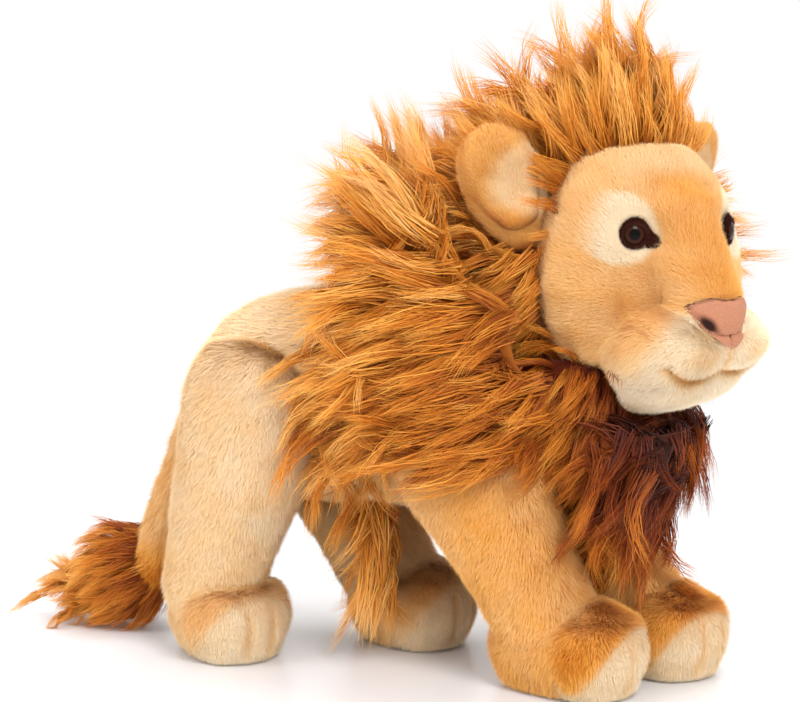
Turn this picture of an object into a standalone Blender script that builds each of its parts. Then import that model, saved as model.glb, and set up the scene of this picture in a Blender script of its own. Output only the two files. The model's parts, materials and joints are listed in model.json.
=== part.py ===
# Plush lion, striding, with its head turned to its right.
# Frame: metres, +Z up, the lion faces -Y and its own left side is +X.
# Every stuffed piece is a sewn skin over its filling, and smaller pieces are cut by larger ones.

from math import cos, hypot, pi, radians, sin

import bmesh
import bpy
from mathutils import Matrix, Vector
from mathutils.bvhtree import BVHTree

MM = 0.001

# Fabric and fits
GAP = 0.3 * MM
TURN_GAP = 0.8 * MM
ROOM_GAP = 1.8 * MM
SKIN = 3.2 * MM
OVERRUN = 60 * MM
FLOOR_CUT = 0.5 * MM

# Torso, from the rump to the neck
TORSO_RUMP_Y = 82 * MM
TORSO_RUMP_HEIGHT = 128 * MM
TORSO_CHEST_Y = -84 * MM
TORSO_CHEST_HEIGHT = 142 * MM
TORSO_NECK_Y = -108 * MM
TORSO_HALF_WIDTH = 45 * MM
TORSO_HALF_HEIGHT = 53 * MM
TORSO_RUMP_CAP = 32 * MM
TORSO_CHEST_CAP = 34 * MM
NECK_RADIUS = 40 * MM

# Head, placed from a pivot that turns about +Z
HEAD_Y = -117 * MM
HEAD_HEIGHT = 203 * MM
HEAD_TURN = 32
HEAD_FLEX = 12
HEAD_HALF_WIDTH = 52 * MM
HEAD_HALF_DEPTH = 37 * MM
HEAD_HALF_HEIGHT = 50 * MM
NECK_PLANE = 158 * MM
BRIDGE_HALF_WIDTH = 20 * MM
BRIDGE_HALF_DEPTH = 15 * MM
BRIDGE_BROW_RISE = 22 * MM
BRIDGE_BROW_FORWARD = 24 * MM
BRIDGE_TIP_FORWARD = 46 * MM
BRIDGE_TIP_DROP = 22 * MM

# Muzzle, chin and nose
MUZZLE_HALF_WIDTH = 37 * MM
MUZZLE_HALF_HEIGHT = 21 * MM
MUZZLE_HALF_DEPTH = 28 * MM
MUZZLE_FORWARD = 32 * MM
MUZZLE_DROP = 40 * MM
CHIN_HALF_WIDTH = 27 * MM
CHIN_HALF_HEIGHT = 13 * MM
CHIN_HALF_DEPTH = 26 * MM
CHIN_FORWARD = 28 * MM
CHIN_DROP = 55 * MM
CHIN_BACK = 16 * MM
NOSE_WIDTH = 37 * MM
NOSE_HEIGHT = 24 * MM
NOSE_THICKNESS = 3.4 * MM
NOSE_DROP = 24 * MM
NOSE_REACH = 14 * MM

# Eyes: a plastic dome on a shank, held by a washer inside the head
EYE_DIAMETER = 12.5 * MM
EYE_DOME_HEIGHT = 5 * MM
EYE_SPACING = 56 * MM
EYE_RISE = 14 * MM
EYE_SPLAY = 32
EYE_SINK = 1 * MM
SHANK_DIAMETER = 4.4 * MM
SHANK_LENGTH = 14 * MM
WASHER_DIAMETER = 14 * MM
WASHER_THICKNESS = 2.2 * MM
EYELID_WIDTH = 1.3 * MM
EYELID_THICKNESS = 1.2 * MM
EYELID_CORNER = 7 * MM
EYE_PATCH_WIDTH = 40 * MM
EYE_PATCH_HEIGHT = 37 * MM
EYE_PATCH_THICKNESS = 1.6 * MM
EYE_PATCH_OUTWARD = 8 * MM
EYE_PATCH_RISE = 5 * MM
WASHER_SEAT = 3.4 * MM

# Ears
EAR_HALF_WIDTH = 19 * MM
EAR_LENGTH = 54 * MM
EAR_HALF_THICKNESS = 5 * MM
EAR_LINING_THICKNESS = 4 * MM
EAR_SPREAD = 50 * MM
EAR_RISE = 11 * MM
EAR_BACK = 20 * MM
EAR_LEAN = 24
EAR_TURN = 34
EAR_FLEX = 8

# Hind legs
HIND_SIDE = 36 * MM
HIND_HIP_Y = 68 * MM
HIND_HIP_HEIGHT = 122 * MM
HIND_PLANE = 27 * MM
HIND_BELLY_LINE = 74 * MM
HIND_HAUNCH_RADIUS = 38 * MM
HIND_HALF_WIDTH = 22 * MM
HIND_ANKLE_RADIUS = 21 * MM
HIND_ANKLE_BACK = 8 * MM
HIND_TRACK = 28 * MM
HIND_RIGHT_SOLE_Y = 87 * MM
HIND_LEFT_SOLE_Y = 9 * MM
HIND_RIGHT_TOE_TURN = -32
HIND_LEFT_TOE_TURN = -14
HIND_PAW_HALF_LENGTH = 31 * MM

# Front legs
FRONT_SIDE = 36 * MM
FRONT_HIP_Y = -44 * MM
FRONT_HIP_HEIGHT = 116 * MM
FRONT_PLANE = 26 * MM
FRONT_BELLY_LINE = 84 * MM
FRONT_SHOULDER_RADIUS = 36 * MM
FRONT_HALF_WIDTH = 22 * MM
FRONT_WRIST_RADIUS = 22 * MM
FRONT_WRIST_BACK = 8 * MM
FRONT_TRACK = 26 * MM
FRONT_RIGHT_SOLE_Y = -92 * MM
FRONT_LEFT_SOLE_Y = -120 * MM
FRONT_RIGHT_TOE_TURN = -8
FRONT_LEFT_TOE_TURN = -26
FRONT_PAW_HALF_LENGTH = 35 * MM

# Paws
LEG_FLEX = 4
ANKLE_HEIGHT = 30 * MM
PAW_HALF_WIDTH = 24 * MM
PAW_HEIGHT = 46 * MM
TOE_PANEL_THICKNESS = 1.8 * MM
TOE_PANEL_LIFT = 1.2 * MM
TOE_PANEL_HEIGHT = 34 * MM

# Tail
TAIL_ROOT_Y = 106 * MM
TAIL_ROOT_HEIGHT = 124 * MM
TAIL_LENGTH = 92 * MM
TAIL_DROOP = 70
TAIL_ROOT_RADIUS = 12 * MM
TAIL_END_RADIUS = 14 * MM
TAIL_FLEX = 30
TUFT_LENGTH = 62 * MM
TUFT_DROOP = 40
TUFT_RADIUS = 27 * MM
TUFT_TIP = 26 * MM
TUFT_LIFT = 2.5 * MM

# Long pile: these solids are the outer shape of the mane, ending in pointed locks
RUFF_RADIUS = 70 * MM
RUFF_TOP = 192 * MM
EAR_RADIUS = 88 * MM
EAR_RADIUS_HEIGHT = 206 * MM
CREST_RADIUS = 118 * MM
CREST_RADIUS_HEIGHT = 262 * MM
CREST_HEIGHT = 80 * MM
CREST_HALF_WIDTH = 44 * MM
CREST_HALF_DEPTH = 50 * MM
CREST_BACK = 44 * MM
RUFF_HALF_WIDTH = 70 * MM
RUFF_HALF_HEIGHT = 64 * MM
RUFF_DEPTH = 74 * MM
RUFF_FORWARD = -6 * MM
CAPE_HALF_WIDTH = 72 * MM
CAPE_HALF_HEIGHT = 96 * MM
CAPE_HEIGHT = 168 * MM
CAPE_FRONT_Y = -98 * MM
CAPE_LENGTH = 126 * MM
BIB_HALF_WIDTH = 50 * MM
BIB_HALF_DEPTH = 39 * MM
BIB_Y = -116 * MM
BIB_TOP = 149 * MM
BIB_LENGTH = 86 * MM
FRINGE_Y = 16 * MM
FRINGE_TOP = 100 * MM
FRINGE_LENGTH = 64 * MM
FRINGE_SIDE = -12 * MM
FRINGE_HALF_WIDTH = 13 * MM
FRINGE_HALF_DEPTH = 19 * MM
LOCK_REACH = 16 * MM
LOCK_FLARE = 9 * MM
CREST_LOCKS = 11
RUFF_LOCKS = 14
CAPE_LOCKS = 15
BIB_LOCKS = 10
FRINGE_LOCKS = 6
TUFT_LOCKS = 7
SHORT_ROWS = 2
LONG_ROWS = 3

# Rings and sides
AROUND = 14
ALONG = 5
CAP_RINGS = 2
INNER_AROUND = 10
INNER_ALONG = 4
FEW_AROUND = 10
EAR_AROUND = 12
MORE_AROUND = 18
FEW_ALONG = 3
MORE_ALONG = 6
ROUND_SIDES = 16
FLAT_ANGLE = 1
SHARP_ANGLE = 40

# Shares of the sizes above
TORSO_SHARES = (
    (0.00, 0.88, 0.88),
    (0.22, 0.98, 0.96),
    (0.55, 1.00, 1.02),
    (1.00, 0.94, 1.02),
)
SKULL_SHARES = (
    (0.86, 0.62, 0.68, 0.10),
    (0.50, 0.86, 0.92, 0.03),
    (0.05, 0.98, 1.00, 0.00),
    (-0.40, 1.00, 1.00, 0.00),
    (-0.84, 0.78, 0.84, 0.06),
)
SKULL_CAP_SHARE = 0.16
LEG_SHARES = (
    (-0.20, 0.74, 0.86),
    (0.00, 0.96, 1.00),
    (0.30, 1.00, 0.86),
    (0.62, 0.96, 0.66),
    (1.00, 0.94, 0.62),
)
LEG_TOP_CAP_SHARE = 0.42
PAW_CAP_SHARE = 0.9
PAW_SHARES = (
    (1.00, 0.96, 0.86, 0.92),
    (0.00, 1.00, 0.97, 1.00),
    (-1.00, 0.94, 1.00, 0.90),
)
EAR_SHARES = (
    (0.00, 0.55, 1.00, 0.00),
    (0.35, 0.92, 1.00, 0.06),
    (0.70, 1.00, 0.90, 0.02),
)
TUFT_SHARES = (
    (0.00, 0.50),
    (0.30, 0.92),
    (0.60, 1.00),
    (1.00, 0.72),
)
CREST_SHARES = (
    (0.24, 0.86, 0.66, 0.36),
    (0.52, 1.00, 0.90, 0.55),
    (0.80, 0.90, 1.08, 0.86),
    (1.00, 0.62, 1.06, 1.06),
)
RUFF_SHARES = (
    (0.00, 0.90, 0.92, 0.00),
    (0.25, 1.02, 1.02, 0.00),
    (0.60, 1.06, 1.05, 0.00),
    (1.00, 0.96, 0.92, 0.00),
)
CAPE_SHARES = (
    (0.00, 0.80, 0.74, 0.12),
    (0.25, 0.98, 0.94, 0.08),
    (0.50, 1.02, 0.96, -0.02),
    (0.75, 0.96, 0.72, -0.16),
    (1.00, 0.82, 0.47, -0.32),
)
BIB_SHARES = (
    (0.00, 0.90, 0.86, 0.00),
    (0.30, 0.97, 1.00, 0.00),
    (0.60, 0.72, 0.76, -0.35),
    (1.00, 0.34, 0.38, -0.78),
)
FRINGE_SHARES = (
    (0.00, 1.00, 1.00, 0.00),
    (0.40, 0.95, 0.95, 0.00),
    (1.00, 0.50, 0.50, 0.00),
)
EAR_CAP_SHARE = 0.85
EAR_LINING_SHARE = 0.78
TAIL_ROOT_SHARE = 0.55
TAIL_SWING_SHARE = 2
TUFT_FLATNESS_SHARE = 0.8
NOSE_LOW_WIDTH_SHARE = 0.45
VALLEY_SHARE = 0.35
LOCK_CORE_SHARE = 0.67
BRIDGE_TIP_SHARE = 0.8
TOE_START_SHARE = 0.3
LID_ROOT_SHARE = 0.7
SMALL_SHARE = 0.001
MERGE_SHARE = 0.5

# Colours
APRICOT = (0.74, 0.45, 0.20, 1.0)
CREAM = (0.86, 0.68, 0.45, 1.0)
GOLD = (0.58, 0.23, 0.05, 1.0)
RUST = (0.42, 0.13, 0.03, 1.0)
MAHOGANY = (0.16, 0.035, 0.012, 1.0)
NOSE_PINK = (0.56, 0.27, 0.18, 1.0)
BLACK = (0.012, 0.008, 0.006, 1.0)
EYE_BROWN = (0.03, 0.012, 0.006, 1.0)
FILLING_WHITE = (0.86, 0.86, 0.83, 1.0)
WASHER_WHITE = (0.75, 0.75, 0.72, 1.0)


def clear_scene():
    for item in list(bpy.data.objects):
        bpy.data.objects.remove(item, do_unlink=True)


def material(name, colour, roughness):
    made = bpy.data.materials.new(name)
    made.use_nodes = True
    shader = made.node_tree.nodes["Principled BSDF"]
    shader.inputs["Base Color"].default_value = colour
    shader.inputs["Roughness"].default_value = roughness
    shader.inputs["Metallic"].default_value = 0.0
    made.diffuse_color = colour
    return made


# Closed meshes and the ways of combining them


def mesh_of(work):
    bmesh.ops.recalc_face_normals(work, faces=work.faces)
    mesh = bpy.data.meshes.new("shape")
    work.to_mesh(mesh)
    work.free()
    return mesh


def moved(mesh, matrix):
    copy = mesh.copy()
    copy.transform(matrix)
    return copy


def measures(mesh):
    """Whether a mesh is closed, its volume, and its lowest and highest corners."""
    work = bmesh.new()
    work.from_mesh(mesh)
    closed = len(work.faces) > 0 and all(len(edge.link_faces) == 2 for edge in work.edges)
    volume = work.calc_volume(signed=True) if closed else 0
    places = [vertex.co for vertex in work.verts] or [Vector()]
    low = [min(place[axis] for place in places) for axis in range(3)]
    high = [max(place[axis] for place in places) for axis in range(3)]
    work.free()
    return closed, volume, low, high


def is_sound(result, mesh, other, operation):
    """The result is closed, inside the corners it may have, and as large as the two meshes allow."""
    closed, volume, low, high = measures(result)
    if not closed or volume <= 0:
        return False
    all_volume, all_low, all_high = measures(mesh)[1:]
    other_volume, other_low, other_high = measures(other)[1:]
    slack = (all_volume + other_volume) * SMALL_SHARE
    if operation == "UNION":
        most, least = all_volume + other_volume, max(all_volume, other_volume)
        return least - slack <= volume <= most + slack
    if operation == "INTERSECT":
        all_low = [max(pair) for pair in zip(all_low, other_low)]
        all_high = [min(pair) for pair in zip(all_high, other_high)]
    above = all(low[axis] >= all_low[axis] - GAP for axis in range(3))
    inside = above and all(high[axis] <= all_high[axis] + GAP for axis in range(3))
    if operation == "DIFFERENCE":
        return inside and all_volume - other_volume - slack <= volume <= all_volume - slack * SMALL_SHARE
    return inside and volume <= min(all_volume, other_volume) + slack


def combined(mesh, other, operation):
    """One Boolean step; the second solver is only for where the first one fails."""
    base = bpy.data.objects.new("base", mesh)
    tool = bpy.data.objects.new("tool", other)
    for item in (base, tool):
        bpy.context.collection.objects.link(item)
    modifier = base.modifiers.new("combine", "BOOLEAN")
    modifier.operation = operation
    modifier.object = tool
    for solver in ("EXACT", "MANIFOLD"):
        modifier.solver = solver
        graph = bpy.context.evaluated_depsgraph_get()
        result = settled(bpy.data.meshes.new_from_object(base.evaluated_get(graph)), GAP * SMALL_SHARE)
        if is_sound(result, mesh, other, operation):
            break
    for item in (base, tool):
        bpy.data.objects.remove(item, do_unlink=True)
    return result


def union(mesh, *others):
    for other in others:
        mesh = combined(mesh, other, "UNION")
    return mesh


def cut(mesh, *others):
    for other in others:
        mesh = combined(mesh, other, "DIFFERENCE")
    return mesh


def shared(mesh, other):
    return combined(mesh, other, "INTERSECT")


def settled(mesh, distance):
    """The mesh in triangles, with close corners merged and without pairs that lie on each other."""
    work = bmesh.new()
    work.from_mesh(mesh)
    bmesh.ops.remove_doubles(work, verts=work.verts, dist=distance)
    bmesh.ops.dissolve_degenerate(work, edges=work.edges, dist=distance)
    bmesh.ops.dissolve_limit(work, angle_limit=radians(FLAT_ANGLE), verts=work.verts, edges=work.edges)
    bmesh.ops.triangulate(work, faces=work.faces)
    stacks = {}
    for face in work.faces:
        stacks.setdefault(frozenset(face.verts), []).append(face)
    pairs = [face for stack in stacks.values() if len(stack) > 1 for face in stack]
    bmesh.ops.delete(work, geom=pairs, context="FACES")
    clean = all(len(edge.link_faces) == 2 and edge.is_contiguous for edge in work.edges)
    if not clean or not work.faces:
        work.free()
        return mesh
    result = bpy.data.meshes.new("shape")
    work.to_mesh(result)
    work.free()
    return result


def largest_body(mesh):
    """The largest closed body of a mesh, without the chips that a cut leaves."""
    work = bmesh.new()
    work.from_mesh(mesh)
    unseen = set(work.faces)
    bodies = []
    while unseen:
        todo = [unseen.pop()]
        body = set(todo)
        while todo:
            for edge in todo.pop().edges:
                for face in edge.link_faces:
                    if face in unseen:
                        unseen.remove(face)
                        body.add(face)
                        todo.append(face)
        bodies.append(body)
    largest = max(bodies, key=lambda body: sum(face.calc_area() for face in body))
    extra = [face for face in work.faces if face not in largest]
    bmesh.ops.delete(work, geom=extra, context="FACES")
    result = bpy.data.meshes.new("shape")
    work.to_mesh(result)
    work.free()
    return result


def main_body(mesh):
    return largest_body(settled(largest_body(mesh), GAP * MERGE_SHARE))


def box(low, high):
    work = bmesh.new()
    bmesh.ops.create_cube(work, size=1)
    for vertex in work.verts:
        for axis in range(3):
            vertex.co[axis] = high[axis] if vertex.co[axis] > 0 else low[axis]
    return mesh_of(work)


def lathe(profile, sides):
    """A solid turned about +Z through the points (radius, height), which start and end on the axis."""
    work = bmesh.new()
    rows = []
    for radius, height in profile:
        if radius == 0:
            rows.append([work.verts.new((0, 0, height))])
            continue
        angles = [2 * pi * step / sides for step in range(sides)]
        rows.append([work.verts.new((radius * cos(a), radius * sin(a), height)) for a in angles])
    join_rows(work, rows)
    return mesh_of(work)


def join_rows(work, rows):
    for low, high in zip(rows, rows[1:]):
        count = max(len(low), len(high))
        for step in range(count):
            after = (step + 1) % count
            if len(low) == 1:
                work.faces.new((low[0], high[step], high[after]))
            elif len(high) == 1:
                work.faces.new((low[step], low[after], high[0]))
            else:
                work.faces.new((low[step], low[after], high[after], high[step]))


# Swept forms


def between(stations, share):
    """A station on the smooth curve through the given ones, each (x, y, z, half width, half depth)."""
    last = len(stations) - 1
    place = min(max(share, 0), 1) * last
    index = min(int(place), last - 1)
    t = place - index
    p0 = stations[max(index - 1, 0)]
    p1 = stations[index]
    p2 = stations[index + 1]
    p3 = stations[min(index + 2, last)]
    values = []
    for a, b, c, d in zip(p0, p1, p2, p3):
        value = 2 * b + (c - a) * t + (2 * a - 5 * b + 4 * c - d) * t**2
        values.append((value + (3 * b - a - 3 * c + d) * t**3) / 2)
    return values


def frame_at(stations, share):
    """The place, the two section directions and the path direction at a share of the sweep."""
    step = 1 / 50
    ahead = Vector(between(stations, share + step)[:3])
    behind = Vector(between(stations, share - step)[:3])
    path = (ahead - behind).normalized()
    across = Vector((1, 0, 0))
    if abs(path.x) > 1 / 2:
        across = Vector((0, 1, 0))
    across = (across - across.dot(path) * path).normalized()
    return Vector(between(stations, share)[:3]), across, path.cross(across), path


def ring(work, place, across, upward, half_width, half_depth, around):
    verts = []
    for step in range(around):
        angle = 2 * pi * step / around
        offset = across * (half_width * cos(angle)) + upward * (half_depth * sin(angle))
        verts.append(work.verts.new(place + offset))
    return verts


def swept(stations, start_cap, end_cap, grow=0.0, around=AROUND, along=ALONG):
    """A round-ended form along its stations, grown by a clearance or shrunk to what a skin holds."""
    if grow < 0:
        around, along = INNER_AROUND, min(along, INNER_ALONG)
    work = bmesh.new()
    rows = []
    first, last = stations[0], stations[-1]
    place, across, upward, path = frame_at(stations, 0)
    rows.append([work.verts.new(place - path * (start_cap + grow))])
    for step in range(CAP_RINGS, 0, -1):
        angle = pi / 2 * step / (CAP_RINGS + 1)
        centre = place - path * (start_cap + grow) * sin(angle)
        width, depth = (first[3] + grow) * cos(angle), (first[4] + grow) * cos(angle)
        rows.append(ring(work, centre, across, upward, width, depth, around))
    for step in range(along + 1):
        share = step / along
        place, across, upward, path = frame_at(stations, share)
        width, depth = between(stations, share)[3:]
        rows.append(ring(work, place, across, upward, width + grow, depth + grow, around))
    for step in range(1, CAP_RINGS + 1):
        angle = pi / 2 * step / (CAP_RINGS + 1)
        centre = place + path * (end_cap + grow) * sin(angle)
        width, depth = (last[3] + grow) * cos(angle), (last[4] + grow) * cos(angle)
        rows.append(ring(work, centre, across, upward, width, depth, around))
    rows.append([work.verts.new(place + path * (end_cap + grow))])
    join_rows(work, rows)
    return mesh_of(work)


def lock_form(stations, start_cap, locks, rows_of_locks, reach, flare, grow=0.0):
    """A swept form of long pile: rows of pointed locks, each row standing out over the next."""
    work = bmesh.new()
    around = 2 * locks
    place, across, upward, path = frame_at(stations, 0)
    rows = [[work.verts.new(place - path * (start_cap + grow))]]
    first = stations[0]
    for step in range(CAP_RINGS, 0, -1):
        angle = pi / 2 * step / (CAP_RINGS + 1)
        centre = place - path * (start_cap + grow) * sin(angle)
        width, depth = (first[3] + grow) * cos(angle), (first[4] + grow) * cos(angle)
        rows.append(ring(work, centre, across, upward, width, depth, around))
    for row in range(rows_of_locks):
        start, end = row / rows_of_locks, (row + 1) / rows_of_locks
        for part in (0, 1 / 2, 1):
            share = start + (end - start) * part
            place, across, upward, path = frame_at(stations, share)
            width, depth = between(stations, share)[3:]
            verts = []
            for step in range(around):
                angle = 2 * pi * step / around
                is_tip = (step + row) % 2 == 0
                out = part * flare * (1 if is_tip else VALLEY_SHARE) + grow
                offset = across * ((width + out) * cos(angle)) + upward * ((depth + out) * sin(angle))
                along = path * (reach * part**2 if is_tip else 0)
                verts.append(work.verts.new(place + offset + along))
            rows.append(verts)
    core_width, core_depth = width * LOCK_CORE_SHARE, depth * LOCK_CORE_SHARE
    rows.append(ring(work, place, across, upward, core_width, core_depth, around))
    rows.append([work.verts.new(place)])
    join_rows(work, rows)
    return mesh_of(work)


# Torso


def torso_form(grow=0.0):
    stations = []
    for share, width_share, height_share in TORSO_SHARES:
        y = TORSO_RUMP_Y + (TORSO_CHEST_Y - TORSO_RUMP_Y) * share
        z = TORSO_RUMP_HEIGHT + (TORSO_CHEST_HEIGHT - TORSO_RUMP_HEIGHT) * share
        stations.append((0, y, z, TORSO_HALF_WIDTH * width_share, TORSO_HALF_HEIGHT * height_share))
    body = swept(stations, TORSO_RUMP_CAP, TORSO_CHEST_CAP, grow, MORE_AROUND, ALONG)
    neck = (
        (0, TORSO_CHEST_Y, TORSO_CHEST_HEIGHT, NECK_RADIUS, NECK_RADIUS),
        (0, TORSO_NECK_Y, HEAD_HEIGHT, NECK_RADIUS, NECK_RADIUS),
    )
    return union(body, swept(neck, NECK_RADIUS / 2, 0, grow, AROUND, INNER_ALONG))


# Legs


class Leg:
    def __init__(self, name, side, pair, sole_y, toe_turn):
        self.name = name
        self.side = side
        self.toe_turn = toe_turn
        hind = pair == "hind"
        self.plane = HIND_PLANE if hind else FRONT_PLANE
        self.belly = HIND_BELLY_LINE if hind else FRONT_BELLY_LINE
        self.radius = HIND_HAUNCH_RADIUS if hind else FRONT_SHOULDER_RADIUS
        self.half_width = HIND_HALF_WIDTH if hind else FRONT_HALF_WIDTH
        self.low_radius = HIND_ANKLE_RADIUS if hind else FRONT_WRIST_RADIUS
        self.paw_half_length = HIND_PAW_HALF_LENGTH if hind else FRONT_PAW_HALF_LENGTH
        back = HIND_ANKLE_BACK if hind else FRONT_WRIST_BACK
        track = HIND_TRACK if hind else FRONT_TRACK
        hip_side = HIND_SIDE if hind else FRONT_SIDE
        hip_y = HIND_HIP_Y if hind else FRONT_HIP_Y
        hip_height = HIND_HIP_HEIGHT if hind else FRONT_HIP_HEIGHT
        self.hip = Vector((side * hip_side, hip_y, hip_height))
        self.ankle = Vector((side * track, sole_y + back, ANKLE_HEIGHT))
        self.sole = Vector((side * track, sole_y, 0))

    def column(self, grow, swing=0.0):
        """The limb from its round top to its ankle, with more depth for a swing about the hip."""
        stations = []
        for share, width_share, depth_share in LEG_SHARES:
            place = self.hip.lerp(self.ankle, share)
            width = self.half_width * width_share
            depth = self.radius * depth_share
            if share == 1:
                depth = self.low_radius
            depth += (place - self.hip).length * swing
            stations.append((*place, width, depth))
        return swept(stations, self.radius * LEG_TOP_CAP_SHARE, self.low_radius / 2, grow)

    def paw_matrix(self):
        turn = Matrix.Rotation(radians(self.toe_turn), 4, "Z")
        return Matrix.Translation(self.sole) @ turn

    def paw(self, grow, swing=0.0):
        """The paw, turned about its middle, with more room all round for a swing about the hip."""
        half = self.paw_half_length
        heel = half - PAW_HALF_WIDTH * PAW_CAP_SHARE
        middle = PAW_HEIGHT / 2 * cos(pi / AROUND) - FLOOR_CUT
        slide = self.hip.z * swing
        side = slide * abs(sin(radians(self.toe_turn)))
        stations = []
        for y_share, rise_share, width_share, height_share in PAW_SHARES:
            rise = (abs(self.hip.y - self.sole.y) + half) * swing
            width = PAW_HALF_WIDTH * width_share + side
            height = PAW_HEIGHT / 2 * height_share + rise
            stations.append((0, heel * y_share, middle * rise_share, width, height))
        cap = half - heel + slide
        return moved(swept(stations, cap, cap, grow), self.paw_matrix())

    def above_floor(self, lift):
        low = self.sole - Vector((OVERRUN * 2, OVERRUN * 3, 0))
        high = self.sole + Vector((OVERRUN * 2, OVERRUN * 3, OVERRUN * 4))
        return box((low.x, low.y, lift), high)

    def inside_block(self, plane_gap, belly_gap):
        """The space between this leg's hip plane and the torso's middle, above the belly line."""
        near = self.side * (self.plane - plane_gap)
        far = -self.side * OVERRUN
        low = Vector((min(near, far), self.hip.y - OVERRUN * 2, self.belly + belly_gap))
        high = Vector((max(near, far), self.hip.y + OVERRUN * 2, self.belly + OVERRUN * 3))
        return box(low, high)

    def form(self, grow):
        return union(self.column(grow), self.paw(grow))

    def inside(self, depth):
        """The space inside the skin, which stays open where the leg is sewn to the torso."""
        return shared(cut(self.form(-depth), self.inside_block(0, 0)), self.above_floor(depth))

    def room(self, depth):
        """The space that the limb sweeps as it swings, its clearance, and a depth of fabric."""
        swing = sin(radians(LEG_FLEX))
        grow = ROOM_GAP + depth
        limb = union(self.column(grow, swing), self.paw(grow, swing))
        return cut(limb, self.inside_block(GAP + depth, grow + self.hip.z * swing / 2))

    def pieces(self):
        outer = shared(cut(self.form(0), self.inside_block(0, 0)), self.above_floor(0))
        skin = main_body(cut(outer, self.inside(SKIN - GAP)))
        return skin, main_body(self.inside(SKIN + GAP / 2))

    def toe_panel(self):
        band = cut(self.paw(TOE_PANEL_THICKNESS + GAP), self.paw(GAP))
        half = self.paw_half_length
        low = (-PAW_HALF_WIDTH * 2, -half * 2, TOE_PANEL_LIFT)
        high = (PAW_HALF_WIDTH * 2, -half * TOE_START_SHARE, TOE_PANEL_HEIGHT)
        window = moved(box(low, high), self.paw_matrix())
        return main_body(cut(shared(band, window), self.form(GAP)))


def legs():
    return (
        Leg("hind_leg_right", -1, "hind", HIND_RIGHT_SOLE_Y, HIND_RIGHT_TOE_TURN),
        Leg("hind_leg_left", 1, "hind", HIND_LEFT_SOLE_Y, HIND_LEFT_TOE_TURN),
        Leg("front_leg_right", -1, "front", FRONT_RIGHT_SOLE_Y, FRONT_RIGHT_TOE_TURN),
        Leg("front_leg_left", 1, "front", FRONT_LEFT_SOLE_Y, FRONT_LEFT_TOE_TURN),
    )


# Head, in its own frame: the pivot is the origin and the face looks along -Y


def skull(grow=0.0):
    stations = []
    for height_share, width_share, depth_share, back_share in SKULL_SHARES:
        y = HEAD_HALF_DEPTH * back_share
        z = HEAD_HALF_HEIGHT * height_share
        stations.append((0, y, z, HEAD_HALF_WIDTH * width_share, HEAD_HALF_DEPTH * depth_share))
    cap = HEAD_HALF_HEIGHT * SKULL_CAP_SHARE
    return swept(stations, cap, cap, grow, MORE_AROUND, MORE_ALONG)


def bridge(grow=0.0):
    tip_width = BRIDGE_HALF_WIDTH * BRIDGE_TIP_SHARE
    stations = (
        (0, -BRIDGE_BROW_FORWARD, BRIDGE_BROW_RISE, BRIDGE_HALF_WIDTH, BRIDGE_HALF_DEPTH),
        (0, -BRIDGE_TIP_FORWARD, -BRIDGE_TIP_DROP, tip_width, BRIDGE_HALF_DEPTH),
    )
    return swept(stations, BRIDGE_HALF_DEPTH, BRIDGE_HALF_DEPTH, grow, AROUND, FEW_ALONG)


def crosswise(half_width, forward, drop, half_depth, half_height, grow):
    """A round-ended form that lies across the face."""
    stations = (
        (-half_width / 2, -forward, -drop, half_depth, half_height),
        (0, -forward, -drop, half_depth, half_height),
        (half_width / 2, -forward, -drop, half_depth, half_height),
    )
    return swept(stations, half_width / 2, half_width / 2, grow, AROUND, CAP_RINGS)


def muzzle(grow=0.0):
    pads = crosswise(
        MUZZLE_HALF_WIDTH, MUZZLE_FORWARD, MUZZLE_DROP, MUZZLE_HALF_DEPTH, MUZZLE_HALF_HEIGHT, grow
    )
    chin = crosswise(CHIN_HALF_WIDTH, CHIN_FORWARD, CHIN_DROP, CHIN_HALF_DEPTH, CHIN_HALF_HEIGHT, grow)
    return union(pads, chin)


def muzzle_room(depth):
    """The space that the muzzle sweeps below the neck plane as the head turns."""
    grow = ROOM_GAP + depth
    chin_reach = hypot(CHIN_HALF_WIDTH / 2, CHIN_FORWARD + CHIN_HALF_DEPTH) + grow
    reach = hypot(MUZZLE_HALF_WIDTH / 2, MUZZLE_FORWARD + MUZZLE_HALF_DEPTH) + grow
    low = -CHIN_DROP - CHIN_HALF_HEIGHT - grow
    profile = [(0, low), (chin_reach, low), (reach, -MUZZLE_DROP), (reach, 0), (0, 0)]
    back = MUZZLE_HALF_WIDTH * sin(radians(HEAD_FLEX)) - CHIN_BACK + grow
    behind = box((-OVERRUN * 2, back, -OVERRUN * 2), (OVERRUN * 2, OVERRUN * 2, OVERRUN))
    return moved(cut(lathe(profile, ROUND_SIDES * 2), behind), head_matrix())


def face(grow=0.0):
    return union(skull(grow), bridge(grow), muzzle(grow))


def head_matrix():
    turn = Matrix.Rotation(-radians(HEAD_TURN), 4, "Z")
    return Matrix.Translation((0, HEAD_Y, HEAD_HEIGHT)) @ turn


def behind_chin(grow=0.0):
    """The space that the neck takes below the neck plane, where the head has nothing."""
    low = (-OVERRUN * 2, -CHIN_BACK - grow, -OVERRUN * 4)
    high = (OVERRUN * 2, OVERRUN * 4, NECK_PLANE - HEAD_HEIGHT - grow)
    return box(low, high)


def head_inside(depth):
    return cut(union(skull(-depth), bridge(-depth), muzzle(-depth)), behind_chin())


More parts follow.
